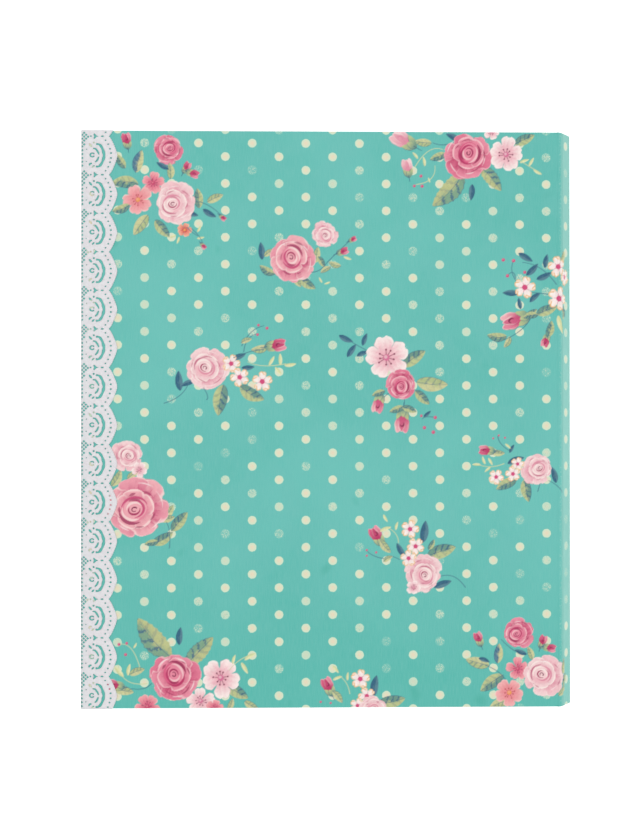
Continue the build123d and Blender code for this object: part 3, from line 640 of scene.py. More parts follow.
def strip(name, path, u_start, P, prof_inner, mats, lining_y=154.0, turn=None):
    """A length of the case paper bent along `path` [(x, z)], its outer face on the path and its
    inner face prof_inner deep; printed outside and lined inside. With turn = (board face depth,
    turned-in face depth, length), it goes over head and tail of a board instead."""
    path = np.array(path, float)
    seg = np.diff(path, axis=0)
    ln = np.hypot(seg[:, 0], seg[:, 1])
    us = u_start + np.concatenate([[0], np.cumsum(ln)])
    tan = np.vstack([seg[:1], (seg[:-1] / ln[:-1, None] + seg[1:] / ln[1:, None]), seg[-1:]]) if len(seg) > 1 else np.vstack([seg, seg])
    tan /= np.linalg.norm(tan, axis=1)[:, None]
    nrm = np.stack([tan[:, 1], -tan[:, 0]], 1)        # towards the inside of the case
    th = prof_inner
    r = 0.38
    ys = []
    y = -(YE - r)
    while y < YE - r - 1e-6:
        i0, i1 = int((us.min() - 1 - P.u0) / P.px), int((us.max() + 1 - P.u0) / P.px)
        j0, j1 = int((y - 0.6 - P.v0) / P.px), int((y + 3.4 - P.v0) / P.px)
        step = 0.4 if P.A[j0:j1, i0:i1].max(initial=0) > 0.02 else 2.4
        ys.append(y)
        y = min(y + step, YE - r)
    ys.append(YE - r)
    outer = [(yy, 0.0, yy, 0) for yy in ys]
    hi = [(YE - r + r * math.sin(t), r - r * math.cos(t), YE - r + r * t, 0) for t in np.radians([30, 60, 90])]
    hi += [(YE - r + r * math.cos(t), th - r + r * math.sin(t), YE - r + r * 1.57 + (th - 2 * r) + r * t, 0) for t in np.radians([0, 30, 60, 90])]
    inner = [(lining_y + .4, th, YE + 5, 0), (lining_y, th, 150, 1), (lining_y / 2, th, 75, 1), (0, th, 0, 1), (-lining_y / 2, th, -75, 1), (-lining_y, th, -150, 1), (-lining_y - .4, th, -YE - 5, 0)]
    if turn:
        d0, d1, tl = turn
        q = 0.35
        hi = hi[:3]
        hi += [(YE - q + q * math.cos(t), d1 - q + q * math.sin(t), YE + d1 - 2 * q + q * t, 0) for t in np.radians([0, 30, 60, 90])]
        hi += [(YE - tl, d1, YE + d1 + tl, 0), (YE - tl, d0, YE + d1 + tl, 0), (YE - th, d0, YE + d1, 0), (YE - th, th, YE, 0)]
        inner = []
    lo = [(-a, b, -c, d) for a, b, c, d in reversed(hi)]
    prof = outer + hi + inner + lo
    m = len(prof)
    co, sh, faces, ids, smooth = [], [], [], [], []
    for k in range(len(path)):
        for (yy, h, vv, _) in prof:
            co.append((path[k, 0] + nrm[k, 0] * h, yy, path[k, 1] + nrm[k, 1] * h))
            sh.append((us[k], vv))
    for k in range(len(path) - 1):
        for i in range(m):
            j = (i + 1) % m
            faces.append((k * m + i, (k + 1) * m + i, (k + 1) * m + j, k * m + j))
            ids.append(1 if prof[i][3] and (prof[j][3]) else 0)
            smooth.append(True)
    faces.append(tuple(range(m)))
    faces.append(tuple((len(path) - 1) * m + i for i in range(m))[::-1])
    ids += [0, 0]
    smooth += [False, False]
    sh = np.array(sh)
    return build(name, co, faces, sh, mats, ids, smooth, P.sample(sh[:, 0], sh[:, 1]))


def bend(corner, d_in, d_out, t=CUT, n=9):
    """Points of the fillet that leaves the corner t away on each side."""
    a = np.array(corner) - np.array(d_in) * t
    b = np.array(corner) + np.array(d_out) * t
    turn = math.acos(max(-1, min(1, float(np.dot(d_in, d_out)))))
    R = t / math.tan(turn / 2)
    s = np.sign(d_in[0] * d_out[1] - d_in[1] * d_out[0])
    nrm = np.array([-d_in[1], d_in[0]]) * s
    c = a + nrm * R
    out = []
    for k in range(n):
        th = turn * k / (n - 1) * s
        v = a - c
        out.append((c[0] + v[0] * math.cos(th) - v[1] * math.sin(th), c[1] + v[0] * math.sin(th) + v[1] * math.cos(th)))
    return out
# ---------------------------------------------------------------- cotton lace on the fore-edge
# One repeat of the lace is drawn flat (q across, from the fold; s along), triangulated with its
# holes cut out, repeated down the edge, folded round the board's edge and given thickness.
PITCH = 21.2
CUT_S = 17.8


def ring_pts(cx, cy, rx, ry, n, ang=0.0):
    t = np.arange(n) * 2 * math.pi / n
    c, s = math.cos(ang), math.sin(ang)
    return [(cx + rx * math.cos(a) * c - ry * math.sin(a) * s, cy + rx * math.cos(a) * s + ry * math.sin(a) * c) for a in t]


def ribbon(pts, widths):
    """A curved slot through pts with those widths, as one closed outline."""
    p = np.array(pts, float)
    t = np.gradient(p, axis=0)
    t /= np.linalg.norm(t, axis=1)[:, None]
    n = np.stack([-t[:, 1], t[:, 0]], 1)
    w = np.array(widths)[:, None] / 2
    a, b = p + n * w, p - n * w
    e0, e1 = p[0] - t[0] * widths[0] * .4, p[-1] + t[-1] * widths[-1] * .4
    return [tuple(e0)] + [tuple(v) for v in a] + [tuple(e1)] + [tuple(v) for v in b[::-1]]


def smooth_path(pts, n):
    p = np.array(pts, float)
    k = np.linspace(0, len(p) - 1, n)
    out = []
    for t in k:
        i = min(int(t), len(p) - 2)
        f = t - i
        p0, p1, p2, p3 = p[max(i - 1, 0)], p[i], p[i + 1], p[min(i + 2, len(p) - 1)]
        out.append(.5 * ((2 * p1) + (-p0 + p2) * f + (2 * p0 - 5 * p1 + 4 * p2 - p3) * f * f + (-p0 + 3 * p1 - 3 * p2 + p3) * f ** 3))
    return np.array(out)


def lace_tile():
    H = PITCH / 2
    edge = smooth_path([(15.5, 0), (16.75, 1.7), (17.85, 3.9), (18.85, 6.2), (19.65, 8.5), (20.05, H), (19.65, PITCH - 8.5),
                        (18.85, PITCH - 6.2), (17.85, PITCH - 3.9), (16.75, PITCH - 1.7), (15.5, PITCH)], 41)
    edge[0, 1], edge[-1, 1] = 0, PITCH
    edge[1:-1, 0] += 0.10 * np.cos(np.arange(1, 40) * math.pi)         # picot edge
    two = np.concatenate([edge[:-1] - [0, PITCH], edge])               # the strip is cut part way up a scallop
    qc = np.interp([CUT_S - PITCH, CUT_S], two[:, 1], two[:, 0])
    mid = two[(two[:, 1] > CUT_S - PITCH + .12) & (two[:, 1] < CUT_S - .12)]
    edge = np.concatenate([[[qc[0], CUT_S - PITCH]], mid, [[qc[0], CUT_S]]])
    holes = []
    for q, s, r in ((13.6, 2.2, .48), (15.05, 4.4, .52), (16.0, 6.9, .55), (16.55, 9.25, .58)):
        holes.append(ring_pts(q, s, r, r * .9, 8))
        holes.append(ring_pts(q, PITCH - s, r, r * .9, 8))
    c = smooth_path([(8.7, 4.3), (9.7, 4.4), (10.7, 5.0), (11.7, 6.5), (12.3, 8.2), (12.75, 9.9), (12.7, 11.3), (12.35, 12.8),
                     (11.7, 14.5), (10.6, 16.1), (9.6, 16.7), (8.6, 16.7)], 34)
    w = .95 + .62 * np.sin(np.linspace(0, math.pi, 34)) + .22 * np.cos(np.linspace(0, 10 * math.pi, 34))
    holes.append(ribbon(c, w))
    holes.append(ribbon(smooth_path([(6.8, 6.7), (8.0, 6.9), (8.9, 7.9), (9.6, 9.1), (9.95, 10.0)], 12), .55 + .48 * np.sin(np.linspace(.1, 3.0, 12))))
    holes.append(ribbon(smooth_path([(9.75, 11.4), (9.45, 12.3), (8.9, 13.4), (8.0, 14.2)], 10), .6 + .42 * np.sin(np.linspace(.1, 3.0, 10))))
    t = np.linspace(math.radians(35), math.radians(325), 14)            # drop round a knot
    holes.append(ribbon([(6.3 + 1.12 * math.cos(a), 10.35 + 1.05 * math.sin(a)) for a in t], .80 + .16 * np.cos(t * 2)))
    holes.append(ring_pts(5.35, 5.0, 1.25, .6, 10, math.radians(48)))
    holes.append(ring_pts(7.2, 3.55, .58, .58, 8))
    holes.append(ribbon(smooth_path([(4.75, 16.1), (5.0, 15.3), (6.0, 14.95)], 8), .6 + .45 * np.sin(np.linspace(.2, 2.9, 8))))
    holes.append(ring_pts(6.85, 16.65, .95, .5, 10, math.radians(-40)))
    holes.append(ring_pts(3.2, 7.2, .34, .34, 6))
    holes.append(ring_pts(3.0, 13.9, .34, .34, 6))
    # the openings between two scallops
    holes.append([(9.9, 0), (8.6, .42), (8.1, .95), (7.35, 1.6), (6.95, 1.05), (7.35, 0), (6.95, -1.05), (7.35, -1.6), (8.1, -.95), (8.6, -.42)])
    holes.append(ring_pts(11.85, 0, .85, .46, 10))
    holes.append(ring_pts(5.5, 0, .48, .48, 8))
    holes = [[(a, b - (PITCH if np.mean([p[1] for p in h]) > CUT_S else 0)) for a, b in h] for h in holes]
    d, g, nb = .76, PITCH / 20, 20
    for a in range(7):                                                 # the net ground
        q = -1.35 + g * a
        for b in range(nb):
            if (a + b) % 2:
                continue
            s = CUT_S - PITCH + g * (b + .5)
            lim = 5.0 - 3.3 * abs(math.sin(math.pi * s / PITCH)) ** 1.1
            if q + d > lim or q - d < -2.3 or s - d < CUT_S - PITCH + .05 or s + d > CUT_S - .05:
                continue
            if min(math.hypot(q - x, s - y) for h in holes[:22] for x, y in h) < d + .05:
                continue
            holes.append([(q - d, s), (q, s - d), (q + d, s), (q, s + d)])
    return edge, holes


Q_END = -6.42
BENDS = (0.8, 0.486, 0.172, -0.142, -2.392, -2.6, -2.81, -3.02)


def fold(q, h):
    """Place of a lace point: q across the flat lace, h off its middle surface, as (x, z)."""
    q = np.asarray(q, float)
    x, z = np.zeros_like(q), np.zeros_like(q)
    R = .6
    top = q >= .8
    x = np.where(top, -136.2 + q, x)
    z = np.where(top, 42.2 + h, z)
    t = np.clip((.8 - q) / .942, 0, 1) * math.pi / 2
    a = (q < .8) & (q > -.142)
    x = np.where(a, -135.4 - (R + h) * np.sin(t), x)
    z = np.where(a, 41.6 + (R + h) * np.cos(t), z)
    b = (q <= -.142) & (q >= -2.392)
    x = np.where(b, -136.0 - h, x)
    z = np.where(b, 41.6 - (-.142 - q), z)
    t2 = np.clip((-2.392 - q) / .628, 0, 1) * math.pi / 2
    c = (q < -2.392) & (q > -3.02)
    x = np.where(c, -135.6 - (.4 + h) * np.cos(t2), x)
    z = np.where(c, 39.35 - (.4 + h) * np.sin(t2), z)
    e = q <= -3.02
    x = np.where(e, -135.6 + (-3.02 - q), x)
    z = np.where(e, 38.95 - h, z)
    return x, z


def make_lace(mats):
    edge, holes = lace_tile()
    rim_q = sorted(set([Q_END, -5, -4] + list(BENDS) + [-1.5, 2.0, 3.2, 4.4, 6.5, 9.0, 10.5, 13.2, 14.4, 15.6, float(edge[0, 0])]))
    verts, edges = [], []

    def loop(pts, close=True):
        i0 = len(verts)
        verts.extend([Vector((float(a), float(b))) for a, b in pts])
        n = len(pts)
        edges.extend([(i0 + k, i0 + (k + 1) % n) for k in range(n if close else n - 1)])

    S0, S1 = CUT_S - PITCH, CUT_S
    outline = [(q, S0) for q in rim_q] + [tuple(e) for e in edge[1:-1]] + [(q, S1) for q in reversed(rim_q)]
    loop(outline)
    for h in holes:
        loop(h)
    for q in BENDS:
        loop([(q, S0), (q, S1)], close=False)
    polys = [np.array(h) for h in holes]

    def inside(poly, x, y):
        c = np.zeros(len(x), bool)
        n = len(poly)
        for i in range(n):
            (x1, y1), (x2, y2) = poly[i], poly[(i + 1) % n]
            if y1 == y2:
                continue
            m = ((y1 > y) != (y2 > y)) & (x < (x2 - x1) * (y - y1) / (y2 - y1) + x1)
            c ^= m
        return c

    def dist(px, py, pts, closed=True):
        p = np.array(pts, float)
        q = np.roll(p, -1, 0) if closed else p[1:]
        p = p if closed else p[:-1]
        best = np.full(len(px), 9e9)
        for (ax, ay), (bx, by) in zip(p, q):
            L2 = (bx - ax) ** 2 + (by - ay) ** 2 + 1e-12
            t = np.clip(((px - ax) * (bx - ax) + (py - ay) * (by - ay)) / L2, 0, 1)
            best = np.minimum(best, np.hypot(px - ax - t * (bx - ax), py - ay - t * (by - ay)))
        return best

    rng = np.random.default_rng(5)
    gx, gy = np.meshgrid(np.arange(.9, 19.9, .62), np.arange(S0 + .45, S1 - .3, .62))
    gx = gx + rng.uniform(-.12, .12, gx.shape)
    gy = gy + rng.uniform(-.12, .12, gy.shape)
    gx, gy = gx.ravel(), gy.ravel()
    keep = inside(np.array(outline), gx, gy) & (dist(gx, gy, outline) > .3)
    for h in polys:
        near = (np.abs(gx - h[:, 0].mean()) < 8) & (np.abs(gy - h[:, 1].mean()) < 9)
        dd = np.full(len(gx), 9.0)
        dd[near] = dist(gx[near], gy[near], h)
        keep &= ~inside(h, gx, gy) & (dd > .26)
    verts.extend([Vector((float(a), float(b))) for a, b in zip(gx[keep], gy[keep])])
    v2, e2, f2, *_ = delaunay_2d_cdt(verts, edges, [], 0, 1e-5)
    V = np.array([(a.x, a.y) for a in v2])
    F = np.array([f for f in f2 if len(f) == 3])
    cx, cy = V[F].mean(1).T
    ok = inside(np.array(outline), cx, cy)
    for h in polys:
        ok &= ~inside(h, cx, cy)
    F = F[ok]
    A = V[F]
    area = .5 * np.abs((A[:, 1, 0] - A[:, 0, 0]) * (A[:, 2, 1] - A[:, 0, 1]) - (A[:, 2, 0] - A[:, 0, 0]) * (A[:, 1, 1] - A[:, 0, 1]))
    F = F[area > 1e-7]
    flat_area = float(area.sum()) * 15 * 1e-6
    used = np.unique(F)
    remap = -np.ones(len(V), int)
    remap[used] = np.arange(len(used))
    V, F = V[used], remap[F]
    # relief: a cord along the scallops, satin stitch between the openings, a flat net ground
    big = [p for p in polys if len(p) > 9]
    de, dh = np.full(len(V), 9.0), np.full(len(V), 9.0)
    for o in (-PITCH, 0, PITCH):                                       # the relief runs on across repeats
        de = np.minimum(de, dist(V[:, 0], V[:, 1], edge + [0, o], closed=False))
        for p in big:
            dh = np.minimum(dh, dist(V[:, 0], V[:, 1], p + [0, o]))
    puff = .13 * np.exp(-((de - .75) / .55) ** 2) + .12 * np.exp(-((dh - .75) / .6) ** 2)
    puff += .05 * ss(0, 1, (V[:, 0] - 4) / 3)
    puff *= ss(.0, .35, de)
    puff = np.where(V[:, 0] < 1.2, 0, puff)
    co, fc, sh = [], [], []
    n = len(V)
    rr = np.random.default_rng(9)
    for k in range(15):
        yy = YE - (V[:, 1] - S0) - k * PITCH
        q = V[:, 0]
        wave = np.where(q > 1.0, .05 * (1 + np.sin(V[:, 1] * 4 * math.pi / PITCH)) * ss(0, 1, (q - 14) / 5), 0)
        for s_, hh in ((1, .16 + puff + wave * .5), (-1, np.full(n, -.16) + wave * .3)):
            x, z = fold(q, s_ * .0 + hh)
            co.append(np.stack([x, yy, z], 1))
            sh.append(np.stack([q, yy, np.where(s_ > 0, puff, 0)], 1))
    base = 2 * n
    # walls round every opening and along the outer edges of the whole strip
    cnt = {}
    for f in F:
        for a, b in ((f[0], f[1]), (f[1], f[2]), (f[2], f[0])):
            k = (min(a, b), max(a, b))
            cnt[k] = cnt.get(k, 0) + 1
    rim = [k for k, c in cnt.items() if c == 1]
    for k in range(15):
        o = k * base
        for f in F:
            fc.append((o + f[0], o + f[1], o + f[2]))
            fc.append((o + n + f[2], o + n + f[1], o + n + f[0]))
        for a, b in rim:
            at0 = V[a, 1] < S0 + 1e-5 and V[b, 1] < S0 + 1e-5
            at1 = V[a, 1] > S1 - 1e-5 and V[b, 1] > S1 - 1e-5
            if (at0 and k > 0) or (at1 and k < 14):
                continue
            fc.append((o + a, o + b, o + n + b, o + n + a))
    co, sh = np.concatenate(co), np.concatenate(sh)
    ob = build("lace_edging", co, fc, sh, mats, None, [True] * len(fc))
    return ob, flat_area
# ---------------------------------------------------------------- materials
class Nodes:
    """Short hand for building a node tree."""

    def __init__(self, name):
        self.m = bpy.data.materials.new(name)
        self.m.use_nodes = True
        self.t = self.m.node_tree
        self.t.nodes.clear()
        self.out = self.t.nodes.new("ShaderNodeOutputMaterial")
        self.b = self.t.nodes.new("ShaderNodeBsdfPrincipled")
        self.t.links.new(self.b.outputs[0], self.out.inputs[0])

    def new(self, kind, **kw):
        n = self.t.nodes.new("ShaderNode" + kind)
        for k, v in kw.items():
            setattr(n, k, v)
        return n

    def link(self, a, b):
        self.t.links.new(a, b)

    def put(self, sock, v):
        if hasattr(v, "is_linked") or isinstance(v, bpy.types.NodeSocket):
            self.link(v, sock)
        elif isinstance(v, (tuple, list, np.ndarray)):
            v = tuple(float(c) for c in v)
            sock.default_value = v if len(v) == len(sock.default_value) else v + (1.0,)
        else:
            sock.default_value = v

    def attr(self, name):
        return self.new("Attribute", attribute_name=name)

    def math(self, op, a, b=0.0, c=None, clamp=False):
        n = self.new("Math", operation=op, use_clamp=clamp)
        self.put(n.inputs[0], a)
        self.put(n.inputs[1], b)
        if c is not None:
            self.put(n.inputs[2], c)
        return n.outputs[0]

    def vmath(self, op, a, b=(0, 0, 0), out=0, scale=None):
        n = self.new("VectorMath", operation=op)
        self.put(n.inputs[0], a)
        if op != "SCALE":
            self.put(n.inputs[1], b)
        if scale is not None:
            self.put(n.inputs["Scale"], scale)
        return n.outputs[out]

    def noise(self, vec, scale, detail=3.0, rough=.5, distort=0.0, out="Fac"):
        n = self.new("TexNoise")
        self.put(n.inputs["Vector"], vec)
        n.inputs["Scale"].default_value = scale
        n.inputs["Detail"].default_value = detail
        n.inputs["Roughness"].default_value = rough
        n.inputs["Distortion"].default_value = distort
        return n.outputs[out]

    def ramp(self, v, a, b, lo=0.0, hi=1.0, smooth=True):
        n = self.new("MapRange", interpolation_type="SMOOTHSTEP" if smooth else "LINEAR")
        for k, x in zip(("Value", "From Min", "From Max", "To Min", "To Max"), (v, a, b, lo, hi)):
            self.put(n.inputs[k], x)
        return n.outputs[0]

    def mix(self, f, a, b, mode="MIX"):
        n = self.new("Mix", data_type="RGBA", blend_type=mode)
        self.put(n.inputs[0], f)
        self.put(n.inputs[6], a)
        self.put(n.inputs[7], b)
        return n.outputs[2]

    def coord(self):
        return self.new("TexCoord").outputs["Object"]

    def bump(self, height, strength, dist, normal=None):
        n = self.new("Bump")
        n.inputs["Strength"].default_value = strength
        n.inputs["Distance"].default_value = dist
        self.put(n.inputs["Height"], height)
        if normal is not None:
            self.link(normal, n.inputs["Normal"])
        return n.outputs[0]

    def shade(self, color=None, rough=None, normal=None, **kw):
        if color is not None:
            self.put(self.b.inputs["Base Color"], color)
        if rough is not None:
            self.put(self.b.inputs["Roughness"], rough)
        if normal is not None:
            self.link(normal, self.b.inputs["Normal"])
        for k, v in kw.items():
            self.b.inputs[k].default_value = v
        return self.m


EXPO = 1.10     # how much brighter than its own colour a face-up surface renders
SPEC = 0.035    # what the room adds by gloss


def tone(h, k=1.0):
    """Base colour that renders as hex h on a surface facing up."""
    return np.clip((lin(h) - SPEC) / EXPO * k, 0.004, 1)


def printed_paper():
    N = Nodes("printed_paper")
    sheet = N.attr("sheet").outputs["Vector"]
    prn = N.attr("print")
    sep = N.new("SeparateXYZ")
    N.link(sheet, sep.inputs[0])
    u, v = sep.outputs[0], sep.outputs[1]
    # ground: a slightly mottled sea green with a faint grain along the sheet
    big = N.noise(N.vmath("MULTIPLY", sheet, (1, 1, 1)), .011, 3.0, .55)
    mid = N.noise(sheet, .055, 4.0, .6, .6)
    grain = N.noise(N.vmath("MULTIPLY", sheet, (3.2, .16, 1)), .9, 2.0, .5)
    fine = N.noise(sheet, 2.6, 2.0, .6)
    c = N.mix(N.ramp(big, .36, .66), tone("62bdb3"), tone("6fc5bc"))
    c = N.mix(N.ramp(mid, .30, .72, 0, .55), c, tone("73c2bb"))
    # painted shade: the ground turns darker and greener towards the bottom (v from -60 to -165), standing in for uneven
    # light
    c = N.mix(N.ramp(v, -60, -165, 0, .55), c, tone("57bbae"))
    c = N.mix(N.ramp(grain, .34, .68, 0, .24), c, tone("84cdc2"))
    c = N.mix(N.ramp(fine, .3, .75, 0, .22), c, tone("58b3a4"))
    smear = N.noise(N.vmath("ADD", sheet, (31.0, 77.0, 0)), .048, 1.0, .4)
    c = N.mix(N.ramp(smear, .69, .80, 0, .45), c, tone("4fae9d"))
    # polka dots on a half-drop lattice, some of them worn
    pu, pv, u0, v0 = 14.79, 14.85, -101.2, 152.2
    col = N.math("FLOOR", N.math("DIVIDE", N.math("SUBTRACT", u, u0 - pu / 2), pu))
    du = N.math("SUBTRACT", N.math("SUBTRACT", u, u0), N.math("MULTIPLY", col, pu))
    odd = N.math("ABSOLUTE", N.math("MODULO", col, 2.0))
    vs = N.math("SUBTRACT", N.math("SUBTRACT", v, v0), N.math("MULTIPLY", odd, pv / 2))
    row = N.math("ROUND", N.math("DIVIDE", vs, pv))
    dv = N.math("SUBTRACT", vs, N.math("MULTIPLY", row, pv))
    cell = N.new("CombineXYZ")
    N.link(col, cell.inputs[0])
    N.link(row, cell.inputs[1])
    wn = N.new("TexWhiteNoise", noise_dimensions="2D")
    N.link(cell.outputs[0], wn.inputs["Vector"])
    rnd = wn.outputs["Value"]
    wob = N.noise(sheet, .9, 2.0, .5)
    rad = N.math("ADD", N.math("SQRT", N.math("ADD", N.math("MULTIPLY", du, du), N.math("MULTIPLY", dv, dv))),
                 N.math("MULTIPLY", N.math("SUBTRACT", wob, .5), .5))
    dot = N.ramp(rad, 2.52, 2.22)
    streak = N.noise(N.vmath("MULTIPLY", sheet, (1.6, .9, 1)), 1.25, 3.0, .62, 1.4)
    # every dot has a wear level: most are whole, a quarter are rubbed thin
    thin = N.ramp(rnd, .62, .98, .30, .60, False)
    cover = N.ramp(N.math("SUBTRACT", streak, thin), -.06, .04)
    cover = N.math("MAXIMUM", cover, N.ramp(rnd, .64, .62))
    halo = N.ramp(rad, 3.0, 2.3, 0, .35)
    c = N.mix(halo, c, tone("93cfc0"))
    cream = N.mix(N.ramp(rad, 2.0, .5, 0, .80), tone("d9e8cc"), tone("f0dcc0"))
    cream = N.mix(N.ramp(fine, .35, .75, 0, .3), cream, tone("dcdec2"))
    cream = N.mix(N.ramp(rnd, .62, .64, 0, .45), cream, tone("b2ddc8"))
    c = N.mix(N.math("MULTIPLY", dot, N.math("MULTIPLY", cover, .97)), c, cream)
    # painted reflection: paler over the two long sloping hinge strips, standing in for the bright room caught at a
    # grazing angle
    strip_sheen = None
    for a, b in ((U_D + 2.2, U_C - .5), (U_B + .5, U_A - 2.2)):
        r_ = N.math("MULTIPLY", N.ramp(u, a - 2.4, a), N.ramp(u, b + 1.6, b))
        strip_sheen = r_ if strip_sheen is None else N.math("MAXIMUM", strip_sheen, r_)
    c = N.mix(N.math("MULTIPLY", strip_sheen, .30), c, tone("b4dccf"))
    # sprays over the ground
    base = N.mix(prn.outputs["Alpha"], c, (0, 0, 0, 1))
    ink = N.vmath("SCALE", N.vmath("SUBTRACT", prn.outputs["Color"], N.vmath("SCALE", (SPEC, SPEC, SPEC), scale=prn.outputs["Alpha"])), scale=1.0 / EXPO)
    ink = N.vmath("MAXIMUM", ink, (0, 0, 0))
    c = N.vmath("ADD", base, ink)
    # patchy pale lines along the four creases
    crease_mottle = N.noise(sheet, .8, 4.0, .7)
    line = None
    for q in (U_D, U_C, U_B, U_A):
        l_ = N.ramp(N.math("ABSOLUTE", N.math("SUBTRACT", u, q)), 1.3, .1)
        line = l_ if line is None else N.math("MAXIMUM", line, l_)
    c = N.mix(N.math("MULTIPLY", line, N.ramp(crease_mottle, .48, .66, 0, .35)), c, tone("c9e6dc"))
    tooth = N.noise(sheet, 5.5, 3.0, .6)
    h = N.math("ADD", N.math("MULTIPLY", tooth, .5), N.math("MULTIPLY", grain, .5))
    h = N.math("ADD", h, N.math("MULTIPLY", mid, 1.4))
    return N.shade(c, N.ramp(N.math("ADD", N.math("MULTIPLY", fine, .5), N.math("MULTIPLY", mid, .5)), .3, .7, .46, .62),
                   N.bump(h, .16, .00018), **{"Specular IOR Level": .42, "Coat Weight": .06, "Coat Roughness": .38})


def cotton():
    N = Nodes("cotton_lace")
    s = N.attr("sheet").outputs["Vector"]
    sep = N.new("SeparateXYZ")
    N.link(s, sep.inputs[0])
    q, v, p = sep.outputs
    a = N.math("SINE", N.math("MULTIPLY", N.math("ADD", q, v), 13.0))
    b = N.math("SINE", N.math("MULTIPLY", N.math("SUBTRACT", q, v), 13.0))
    weave = N.math("MULTIPLY", N.math("ADD", N.math("MULTIPLY", a, b), 1.0), .5)
    yarn = N.noise(s, 3.4, 3.0, .65, .4)
    cloud = N.noise(s, .5, 3.0, .6)
    c = N.mix(N.ramp(cloud, .3, .7), tone("f7f5f8"), tone("edebef"))
    # painted shade: grey in the hollows of the weave, where the threads dip
    c = N.mix(N.ramp(weave, .15, .6, .38, 0), c, tone("bfc6ca"))
    c = N.mix(N.ramp(yarn, .35, .7, 0, .22), c, tone("f5efee"))
    c = N.mix(N.ramp(q, 4.6, 1.0, 0, .42), c, tone("dfe6e8"))
    c = N.mix(N.ramp(N.noise(s, .16, 2.0, .5), .52, .7, 0, .22), c, tone("f0dce2"))
    h = N.math("ADD", N.math("MULTIPLY", weave, .7), N.math("MULTIPLY", yarn, .6))
    return N.shade(c, .82, N.bump(h, .55, .00022), **{"Specular IOR Level": .25, "Sheen Weight": .15, "Sheen Roughness": .5})
def lining_paper():
    N = Nodes("lining_paper")
    o = N.coord()
    fib = N.noise(N.vmath("MULTIPLY", o, (260, 90, 260)), 3.0, 4.0, .6, .5)
    spk = N.noise(o, 900.0, 2.0, .7)
    cl = N.noise(o, 14.0, 4.0, .6)
    c = N.mix(N.ramp(cl, .3, .7), tone("efe9da"), tone("e6dfcc"))
    c = N.mix(N.ramp(fib, .45, .75, 0, .4), c, tone("d9cfb6"))
    c = N.mix(N.ramp(spk, .62, .78, 0, .3), c, tone("f6f2e6"))
    return N.shade(c, .8, N.bump(N.math("ADD", fib, spk), .25, .00015), **{"Specular IOR Level": .3})


def greyboard():
    N = Nodes("greyboard")
    o = N.coord()
    lay = N.noise(N.vmath("MULTIPLY", o, (40, 40, 900)), 4.0, 3.0, .6)
    spk = N.noise(o, 700.0, 3.0, .7)
    c = N.mix(N.ramp(lay, .3, .7), tone("9c958a"), tone("b3ada1"))
    c = N.mix(N.ramp(spk, .6, .72, 0, .6), c, tone("6d675f"))
    c = N.mix(N.ramp(spk, .42, .30, 0, .5), c, tone("cfc9bd"))
    return N.shade(c, .92, N.bump(N.math("ADD", spk, lay), .5, .0003), **{"Specular IOR Level": .2})


def nickel():
    N = Nodes("nickel_plated_steel")
    o = N.coord()
    brush = N.noise(N.vmath("MULTIPLY", o, (900, 22, 900)), 1.6, 4.0, .6)
    cloud = N.noise(o, 60.0, 3.0, .6)
    scr = N.noise(N.vmath("MULTIPLY", o, (120, 1500, 300)), 1.0, 2.0, .5)
    c = N.mix(N.ramp(cloud, .3, .7), lin("c9c8c3"), lin("dedcd6"))
    c = N.mix(N.ramp(brush, .5, .8, 0, .35), c, lin("aeb0af"))
    r = N.math("ADD", N.ramp(brush, .3, .7, .17, .29), N.ramp(scr, .64, .74, 0, .18))
    return N.shade(c, r, N.bump(N.math("ADD", brush, N.math("MULTIPLY", cloud, 2.0)), .12, .00008), **{"Metallic": 1.0})


def film():
    N = Nodes("clear_film")
    o = N.coord()
    g = N.new("SeparateXYZ")
    N.link(N.new("TexCoord").outputs["Generated"], g.inputs[0])
    gx, gy = g.outputs[0], g.outputs[1]
    rip = N.noise(N.vmath("MULTIPLY", o, (18, 26, 18)), 1.0, 3.0, .5, .8)
    fine = N.noise(o, 420.0, 2.0, .5)
    # welded seams: along the binding strip and just inside the two other closed edges
    seam = None
    for q, at, w_ in ((gx, .918, .0022), (gx, .9265, .0012), (gx, .013, .002), (gy, .0085, .0016), (gy, .9915, .0016)):
        l_ = N.ramp(N.math("ABSOLUTE", N.math("SUBTRACT", q, at)), w_, w_ * .3)
        seam = l_ if seam is None else N.math("MAXIMUM", seam, l_)
    strip_ = N.ramp(gx, .917, .919)
    rib = N.math("MULTIPLY", N.math("SINE", N.math("MULTIPLY", gy, 1800.0)), strip_)
    h = N.math("ADD", rip, N.math("MULTIPLY", fine, .02))
    h = N.math("ADD", h, N.math("MULTIPLY", seam, .08))
    h = N.math("ADD", h, N.math("MULTIPLY", rib, .012))
    c = N.mix(N.math("MAXIMUM", seam, N.math("MULTIPLY", strip_, .7)), (.90, .93, .945), (.80, .84, .86))
    N.shade(c, N.ramp(fine, .3, .7, .10, .22), N.bump(h, .5, .004), **{"Specular IOR Level": .5, "IOR": 1.49})
    tr = N.new("BsdfTransparent")
    tr.inputs[0].default_value = (.997, .998, .998, 1)
    mx = N.new("MixShader")
    fr = N.new("Fresnel")
    fr.inputs["IOR"].default_value = 1.49
    k = N.math("ADD", fr.outputs[0], .012)
    k = N.math("ADD", k, N.math("MULTIPLY", N.math("MAXIMUM", seam, N.math("MULTIPLY", strip_, .5)), .30))
    N.link(k, mx.inputs[0])
    N.link(tr.outputs[0], mx.inputs[1])
    N.link(N.b.outputs[0], mx.inputs[2])
    N.link(mx.outputs[0], N.out.inputs[0])
    return N.m


